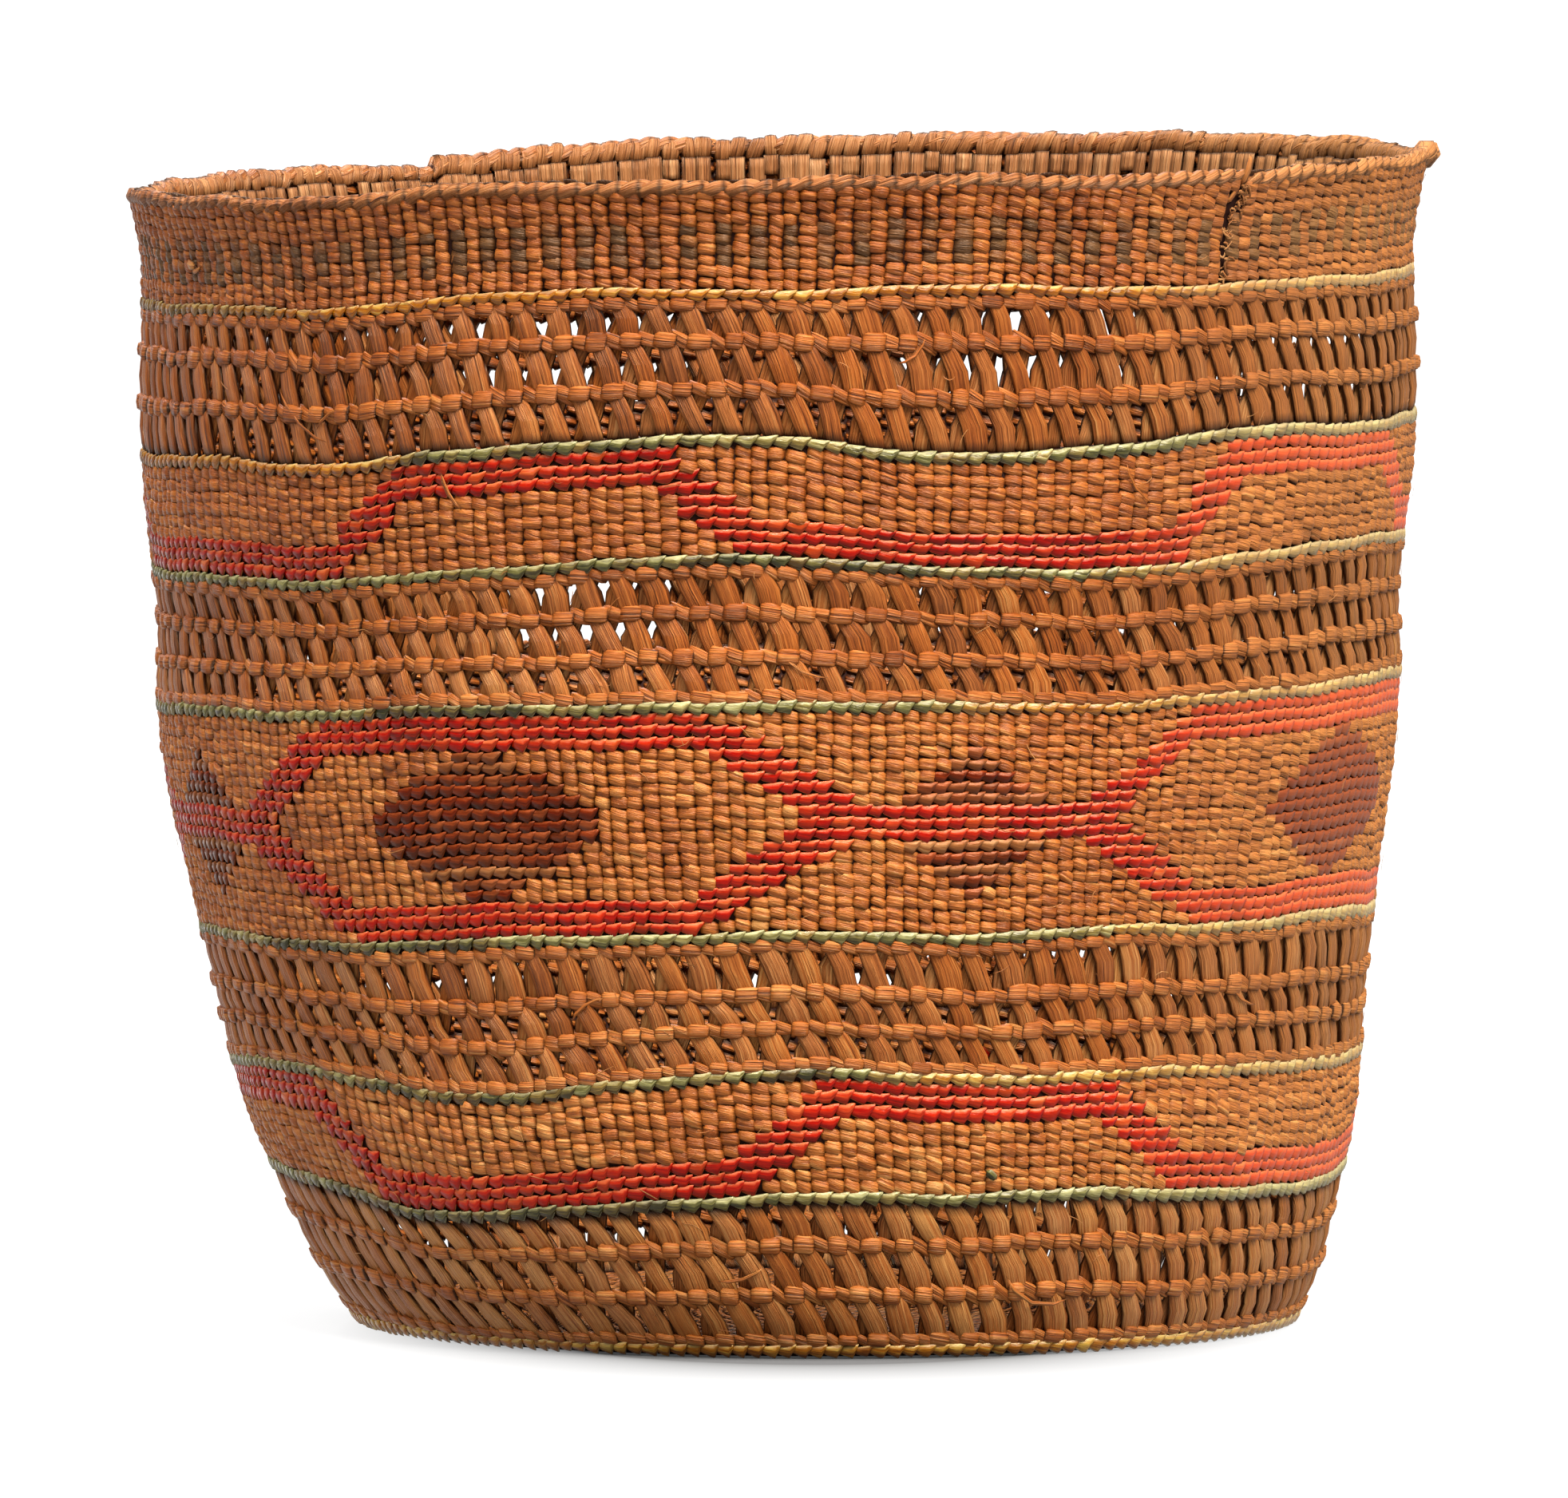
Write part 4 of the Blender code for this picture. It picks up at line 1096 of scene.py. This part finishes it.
def openwork(section, seed):
    """Crossed warps with two weft rows, and bead rows beside the grass lines."""
    prefix = section.replace("openwork", "")
    label = prefix.replace("_", " ")
    for side, warp_seed in (("outer", seed), ("inner", seed + 10)):
        strips = warps(section, warp_seed, side == "outer")
        piece(label + side + " warp strips", [strips], RIBBON, [prefix + side + "_warps"])
    low, high = tiers(section)[1:3]
    for place_name, height, tier in (("low", low, 1), ("high", high, 2)):
        title = label + "weft row " + place_name
        nodes = [prefix + "weft_" + place_name]
        strips = weft_row(section, height, tier, WEFT_HALF_HEIGHT, seed + 20 * tier)
        piece(title, strips, RIBBON, nodes)
        # Painted shade: a dark core behind the weft row
        core(title + " core", height - WEFT_CORE, height + WEFT_CORE, WEFT_CORE_DEPTH, WEFT_CORE_THICKNESS, 1,
             nodes)
    beads = []
    for at_top in (False, True):
        if BEAD_ROWS[section][at_top]:
            beads += bead_row(section, at_top, seed + 70 + at_top)
    piece(label + "bead rows", beads, RIBBON, [prefix + "outer_warps"])


# The rim's rope: turns of its strands, steps and sides of their surface, sizes, number of places where its
# thickness is drawn, and the knob at the far right
ROPE_TURNS = 98
STEPS_A_TURN = 8
ROPE_SIDES = 6
STRAND_RADIUS = 1.3 * MM
STRAND_OFFSET = 0.5 * MM
KNOTS = 196
KNOB_ANGLE = math.radians(86)
KNOB_WIDTH = math.radians(1.7)
KNOB_LIFT = 0.7 * MM
KNOB_OUT = 0.6 * MM
KNOB_SWELL = 0.75
KNOT_SPREAD = 0.13
ROPE_INSET = 1.4 * MM
ROPE_WAVE = 0.22 * MM
ROPE_GROOVE_SHADE = 0.8

# Its break at the tear: how far the left part points up and the right part down, over how many degrees, and
# how much thinner it is there
BREAK_LIFT = 0.9 * MM
BREAK_REACH = (2.5, 3)
BREAK_THINNING = 0.5
BREAK_WIDTH = 1.2


def rope():
    """The rope on the rim: two flat strands that wind round each other, each turn a little different. It
    rises and falls, is broken at the tear, where its left part points up, and has a knob at the far
    right."""
    steps = ROPE_TURNS * STEPS_A_TURN
    batches = []
    around = np.arange(ROPE_SIDES) / ROPE_SIDES * TURN
    broken = tear_angle(SPANS["rim_band"][1])
    for strand in (0, 1):
        angle = np.arange(steps) / steps * TURN
        phase = angle * ROPE_TURNS + strand * math.pi
        uneven = np.append(np.random.default_rng(41 + strand).normal(0, 1, KNOTS), 0)
        knots = 1 + KNOT_SPREAD * np.interp(angle, np.linspace(0, TURN, KNOTS + 1), uneven)
        before = (broken - angle) / math.radians(1)
        knob = np.exp(-((angle - KNOB_ANGLE) / KNOB_WIDTH) ** 2)
        level = (WALL_HEIGHT - ROPE_THICKNESS / 2 + ROPE_WAVE * (np.sin(9 * angle + 2) + np.sin(23 * angle))
                 + BREAK_LIFT * np.exp(-np.abs(before) / BREAK_REACH[0]) * (before > 0) + KNOB_LIFT * knob
                 - BREAK_LIFT * np.exp(-np.abs(before) / BREAK_REACH[1]) * (before <= 0))
        thinner = BREAK_THINNING * np.exp(-(before / BREAK_WIDTH) ** 2)
        size = STRAND_RADIUS * knots * (1 + KNOB_SWELL * knob - thinner)
        size[-1] = size[0]
        out = -ROPE_INSET + STRAND_OFFSET * np.cos(phase) + KNOB_OUT * knob
        up = level + STRAND_OFFSET * np.sin(phase)
        ring_out = out[:, None] + size[:, None] * np.cos(around)
        ring_up = up[:, None] + size[:, None] * np.sin(around)
        points = worn(np.broadcast_to(angle[:, None], ring_up.shape), -ring_out, ring_up)
        index = np.arange(steps * ROPE_SIDES).reshape(steps, ROPE_SIDES)
        after = np.roll(index, -1, axis=0)
        quads = np.stack((index, np.roll(index, -1, axis=1), np.roll(after, -1, axis=1), after), axis=-1)
        run = np.broadcast_to((angle * BODY_RADIUS / MM)[:, None], ring_up.shape)
        side = np.broadcast_to(np.arange(ROPE_SIDES) * 0.7, ring_up.shape) + strand * 5
        # Painted shade in the grooves: each strand is darkened where it winds behind the other
        groove_shade = ROPE_GROOVE_SHADE * (1 - np.abs(np.cos(phase)))
        edge = np.broadcast_to(groove_shade[:, None], ring_up.shape)
        form = np.stack((edge, 0 * edge, 0 * edge), axis=-1)
        batches.append(ring_batch(points, quads.reshape(-1, 4), strand_map=np.stack((run, side), axis=-1),
                                  form=form, tone=0.8, dye=0.6))
    piece("rim rope strands", batches, RIBBON, ["rim_rope"])


LOOSE_ALONG = np.array((-1, -0.6, 0, 0.6, 1))
LOOSE_HALF = np.array((0, 1, 1, 0.8, 0))


def loose(angle, height, lift, slope, long, half, curl, tone, dye=0.0):
    """Loose strands on the wall: each runs from its middle both ways up the slope, in degrees, bends by the
    curl and ends in points that stand off the wall. Lengths, half widths and lifts are in millimetres."""
    lift, slope, long, half, curl, tone = (
        np.broadcast_to(part, np.shape(angle)) for part in (lift, slope, long, half, curl, tone))
    radius = wall_radius(height)[:, None]
    slope = np.radians(slope)[:, None] + np.radians(curl)[:, None] * LOOSE_ALONG
    run = LOOSE_ALONG * long[:, None] / 2 * MM
    thick = LOOSE_HALF * half[:, None] * MM
    out = (lift[:, None] + 0.25 * lift[:, None] * LOOSE_ALONG ** 2) * MM
    return strands(worn, angle[:, None] + run * np.cos(slope) / radius,
                   height[:, None] + run * np.sin(slope), out, -thick * np.sin(slope) / radius,
                   thick * np.cos(slope), thick * 0.6, run, AROUND_INSIDE, tone, dye)


# How many fine fibres there are all over, and along the tear
FUZZ = 420
TORN_FIBRES = 70

# Loose or broken strips: angle from the front, height, lift off the wall, slope, length, half width, curl
# and tone, in degrees and millimetres
LOOSE_STRIPS = (
    (-46.8, 164, 0.3, -35, 15, 0.3, 12, 1),
    (-43, 166, 0.2, 20, 9, 0.3, -20, 2),
    (24.2, 9, 0.6, -20, 14, 0.4, 25, 1),
    (44.8, 203, -0.6, 75, 6, 0.9, 5, 3),
    (43.6, 199, -0.5, 60, 5, 0.6, 10, 2),
    (-65, 190, 0.1, -10, 3, 1.0, 5, 5),
    (-64, 189, 0.1, 15, 4, 0.5, 10, 4),
    (-145.6, 199.5, -1.6, 86, 4, 1.3, 0, 1),
    (2, 118, 0.4, -25, 9, 0.25, 15, 1),
    (-20, 62, 0.4, 30, 8, 0.3, -15, 1),
    (33, 150, 0.3, -50, 10, 0.25, 15, 2),
    (12, 172, 0.3, 40, 7, 0.25, 20, 2),
    (-30, 150, 0.2, -60, 8, 0.4, 10, 2),
    (50, 60, 0.4, -30, 9, 0.3, 15, 1),
    (-8, 14, 0.4, 15, 9, 0.35, 12, 1),
)


def wear():
    """Signs of use: fine fibres that stand off the wall everywhere, more of them along the tear, and some
    loose or broken strands."""
    rng = np.random.default_rng(7)
    count = FUZZ
    height = rng.uniform(0.004, WALL_HEIGHT - 4 * MM, count)
    fuzz = loose(rng.uniform(-math.pi, math.pi, count), height, lift=rng.uniform(0.0, 0.5, count),
                 slope=rng.normal(-20, 40, count), long=rng.uniform(1.5, 5, count),
                 half=rng.uniform(0.05, 0.1, count), curl=rng.normal(0, 18, count),
                 tone=rng.normal(2.5, 1.5, count), dye=0.3)
    count = TORN_FIBRES
    foot, top = SPANS["rim_band"]
    height = rng.uniform(foot, top, count)
    torn = loose(tear_angle(height) + rng.normal(0, 0.006, count), height,
                 lift=rng.uniform(-0.7, 0.2, count), slope=rng.normal(-15, 45, count),
                 long=rng.uniform(1.2, 3.5, count), half=rng.uniform(0.1, 0.3, count),
                 curl=rng.normal(0, 25, count), tone=rng.normal(2, 2, count), dye=0.4)
    places = np.array(LOOSE_STRIPS).T
    strips = loose(np.radians(places[0]), places[1] * MM, *places[2:])
    piece("loose fibres", [fuzz, torn, strips], RIBBON, ["rim_band"])
    green = loose(np.radians([19.4]), np.array([31.2]) * MM, lift=0.1, slope=-40, long=2.6, half=0.8, curl=5,
                  tone=-3, dye=1.0)
    piece("stray green stitch", [green], LINE, ["grass_line_1"])
    red = loose(np.radians([19.2]), np.array([53.0]) * MM, lift=-2.2, slope=-35, long=6, half=0.9, curl=5,
                tone=0)
    piece("stray red end", [red], RED, ["lower_red_zigzag"])


# Warps folded over inside the rim, and their cut ends below: number, half widths, heights, depths behind the
# wall's outer face, and the range of the ends' lengths in millimetres
FOLDS = 232
FOLD_HALF_WIDTH = 1.72 * MM
FOLD_HEIGHT = 4.1 * MM
FOLD_DEPTH = 2.2 * MM
CUT_HALF_WIDTH = 1.68 * MM
CUT_LENGTHS = (3.4, 6.0)
CUT_DEPTH = 3.15 * MM
CUT_START = 3.4 * MM
CUT_THICKNESS = 0.3 * MM
CUT_MISSING = 0.02

# The dark ring of painted shade under the rope: its foot and top below the rope's top, its depth and its
# thickness
RIM_CORE_REACH = (3.2 * MM, 0.75 * MM)
RIM_CORE_DEPTH = 1.3 * MM
RIM_CORE_THICKNESS = 1.0 * MM


def folded_ends(seed):
    """Warps folded over inside the rim: leaning blocks with rounded tops, and below them flat pale ends cut
    off at different lengths, a few of them missing."""
    rng = np.random.default_rng(seed)
    count = FOLDS
    column = TURN / count
    angle = (np.arange(count) + 0.5 + rng.normal(0, 0.08, count)) * column - math.pi
    top = WALL_HEIGHT + 0.15 * MM + rng.normal(0, 0.2, count) * MM
    share = np.array((0, 0.04, 0.2, 0.5, 0.82, 1.0))
    height = top[:, None] - share * FOLD_HEIGHT
    half = np.array((0, 0.72, 0.98, 1.04, 0.9, 0)) * FOLD_HALF_WIDTH * rng.normal(1, 0.08, (count, 1))
    bulge = np.array((0, 0.7, 1.0, 1.0, 0.7, 0)) * MM
    lean = (share - 0.5) * rng.normal(0.3, 0.2, (count, 1)) * column
    out = -FOLD_DEPTH + np.array((0.9, 0.7, 0.15, 0, -0.1, 0)) * MM
    tone = np.clip(rng.normal(0.8, 0.6, count), -1.5, 2.5)
    blocks = strands(worn, angle[:, None] + lean, height, out, half / wall_radius(WALL_HEIGHT), 0.0, -bulge,
                     share * FOLD_HEIGHT, AROUND_STITCH, tone, 0.8, back=0.9, square=0.8)
    piece("folded warp blocks", [blocks], RIBBON, ["turned_warp_ends"])
    low, high = (WALL_HEIGHT - below for below in RIM_CORE_REACH)
    core("rim core", low, high, RIM_CORE_DEPTH, RIM_CORE_THICKNESS, 1, ["rim_rope"])
    kept = rng.uniform(0, 1, count) > CUT_MISSING
    long = rng.uniform(*CUT_LENGTHS, count) * MM
    share = np.array((0, 0.02, 0.35, 0.7, 0.98, 1.0))
    height = top[:, None] - CUT_START - share * long[:, None]
    half = np.array((0, 0.95, 1.0, 1.0, 0.95, 0)) * CUT_HALF_WIDTH * rng.normal(1, 0.07, (count, 1))
    bulge = np.array((0, 1, 1, 1, 1, 0)) * CUT_THICKNESS
    tone = np.clip(rng.normal(1.3, 0.9, count), -1, 4)
    ends = strands(worn, (angle + rng.normal(0, 0.05, count) * column)[:, None], height, -CUT_DEPTH,
                   half / wall_radius(WALL_HEIGHT), 0.0, -bulge, share * long[:, None], AROUND_INSIDE, tone,
                   0.9, back=0.6, square=0.4)
    for key in ("points", "map", "form", "tone", "dye"):
        ends[key] = ends[key][kept]
    piece("cut warp ends", [ends], RIBBON, ["turned_warp_ends"])


# The base: its gap to the wall's outer face, row width, radius of the first row, stitch length, each face's
# direction and lift, the lifts of the core's two sides, and the steps of its edge
BASE_GAP = 2.2 * MM
BASE_ROW = 2.3 * MM
BASE_CENTRE = 1.6 * MM
BASE_STITCH = 3.3 * MM
BASE_FACES = ((1, 2.0 * MM), (-1, 0.75 * MM))
BASE_CORE = (1.9 * MM, 0.9 * MM)
BASE_STEPS = 120


def base():
    """The base: a thin disc between two faces of stitches that run round it in rings."""
    outer = wall_radius(SPANS["heel_line"][0]) - BASE_GAP
    row = BASE_ROW
    radii = np.arange(BASE_CENTRE, outer - row / 2, row)
    batches = []
    for face, lift in BASE_FACES:
        angles = []
        places = []
        widths = []
        for number, radius in enumerate(radii):
            count = max(5, round(TURN * radius / BASE_STITCH))
            angles.append((np.arange(count) + 0.37 * number) * TURN / count)
            places.append(np.full(count, radius))
            widths.append(np.full(count, TURN / count))
        angle = np.concatenate(angles)
        radius = np.concatenate(places)
        width = np.concatenate(widths)
        rng = np.random.default_rng(77 + face)
        tone = np.clip(rng.normal(0, 0.6, len(angle)), -1.5, 1.5)
        along = INSIDE_ALONG * (width / 2)[:, None]
        batches.append(strands(
            lambda turn, lift_down, radius: flat(turn, -lift_down, radius), angle[:, None] + along,
            radius[:, None] + INSIDE_ALONG * 0.2 * row, lift, 0.0, INSIDE_HALF * row / 2,
            face * INSIDE_BULGE * 0.65 * MM, along * radius[:, None], AROUND_INSIDE, tone, 0.25))
    piece("base stitches", batches, ROOT, ["base_disc"])
    steps = BASE_STEPS
    angle = np.arange(steps) / steps * TURN
    rings = [flat(angle, np.full(steps, lift), np.full(steps, outer)) for lift in BASE_CORE]
    middle = flat(np.zeros(2), np.array(BASE_CORE), np.zeros(2))
    points = np.concatenate(rings + [middle])
    index = np.arange(steps)
    after = np.roll(index, -1)
    quads = np.stack((after, index, index + steps, after + steps), axis=-1)
    tris = np.concatenate((np.stack((np.full(steps, 2 * steps), index, after), axis=-1),
                           np.stack((np.full(steps, 2 * steps + 1), after + steps, index + steps), axis=-1)))
    piece("base core", [ring_batch(points, quads, tris)], CORE, ["base_disc"])


for band_seed, band_place in ((100, "rim"), (200, "upper"), (300, "middle"), (400, "lower")):
    band(band_place + "_band", band_seed)
for row_name, row_values in GRASS_ROWS.items():
    line(row_name, *row_values)
for work_seed, work_place in ((600, "rim"), (700, "upper"), (800, "lower"), (900, "foot")):
    openwork(work_place + "_openwork", work_seed)
rope()
folded_ends(950)
wear()
base()


# Stage

# The soft shadow, painted into the floor's glow, that the basket's foot throws forward: how its oval is
# scaled and moved, from which distance to which it fades, how fast, and the floor's glow in it and away from
# it
SHADE_SCALE = (1.09, 0.86)
SHADE_LEFT = LEAN * 0.2
SHADE_REACH = 0.028
SHADE_CURVE = 0.55
LEAST_GLOW = 0.05
FULL_GLOW = 0.88
FLOOR_REACH = 40
SHADE_EDGE = (0.055, 0.092)


def lit_table():
    """Finish of the floor: pale and glowing evenly, with a painted shadow in front of the basket's foot,
    where the glow is less. The glow rises with the distance from a place under the front of the basket."""
    finish = Finish("pale floor")
    place = finish.add("ShaderNodeSeparateXYZ")
    finish.link(finish.place(), place.inputs[0])
    across = finish.math("MULTIPLY", finish.math("ADD", place.outputs["X"], SHADE_LEFT), SHADE_SCALE[0])
    deep = finish.math("MULTIPLY", finish.math("ADD", place.outputs["Y"], SHADE_REACH), SHADE_SCALE[1])
    across = finish.math("MULTIPLY", across, across)
    away = finish.math("SQRT", finish.math("ADD", across, finish.math("MULTIPLY", deep, deep)))
    lit = finish.math("POWER", finish.rising(away, *SHADE_EDGE), SHADE_CURVE)
    glow = finish.math("ADD", finish.math("MULTIPLY", lit, FULL_GLOW - LEAST_GLOW), LEAST_GLOW)
    finish.link(glow, finish.shader.inputs["Emission Strength"])
    finish.shader.inputs["Emission Color"].default_value = (1, 1, 1, 1)
    finish.shader.inputs["Base Color"].default_value = (0.06, 0.06, 0.06, 1)
    finish.shader.inputs["Roughness"].default_value = 0.9
    finish.shader.inputs["Specular IOR Level"].default_value = 0.1
    return finish.material


def floor():
    """A pale floor that reaches far behind the basket."""
    mesh = bpy.data.meshes.new("floor")
    corners = [(across * FLOOR_REACH, deep * FLOOR_REACH, 0) for across, deep in
               ((-1, -1), (1, -1), (1, 1), (-1, 1))]
    mesh.from_pydata(corners, [], [(0, 1, 2, 3)])
    mesh.materials.append(lit_table())
    thing = bpy.data.objects.new("floor", mesh)
    bpy.context.scene.collection.objects.link(thing)


def far_light(name, place, spread, strength, colour):
    """A broad, distant light from one side, the same all over the floor."""
    lamp = bpy.data.lights.new(name, "SUN")
    lamp.angle = math.radians(spread)
    lamp.energy = strength
    lamp.color = colour
    thing = bpy.data.objects.new(name, lamp)
    thing.location = place
    thing.rotation_euler = Vector(place).to_track_quat("Z", "Y").to_euler()
    bpy.context.scene.collection.objects.link(thing)


# Lights: name, direction they come from, spread in degrees, strength, colour
LIGHTS = (
    ("right light", (0.8, -1.0, 1.6), 40, 10.1, (1, 0.98, 0.95)),
    ("left light", (-0.8, -1.0, 1.6), 40, 3.1, (1, 0.98, 0.95)),
    ("glint light", (-0.2, -0.6, 1.9), 8, 2.4, (1, 1, 1)),
    ("back light", (-0.3, 1.0, 1.4), 40, 3.0, (1, 1, 1)),
)

floor()
for light in LIGHTS:
    far_light(*light)
world = bpy.data.worlds.new("studio")
world.use_nodes = True
world.node_tree.nodes["Background"].inputs["Color"].default_value = (1, 1, 1, 1)
world.node_tree.nodes["Background"].inputs["Strength"].default_value = 0.35
bpy.context.scene.world = world
bpy.context.scene.view_settings.view_transform = "Standard"

CAMERA_PLACE = (-0.0074, -3.0, 0.257)
AIM = (-0.0074, 0, 0.1003)
camera = bpy.data.cameras.new("camera")
camera.lens = 392.8
camera.sensor_width = 36
camera.clip_end = 100
viewer = bpy.data.objects.new("camera", camera)
viewer.location = CAMERA_PLACE
viewer.rotation_euler = (Vector(AIM) - viewer.location).to_track_quat("-Z", "Y").to_euler()
bpy.context.scene.collection.objects.link(viewer)
bpy.context.scene.camera = viewer
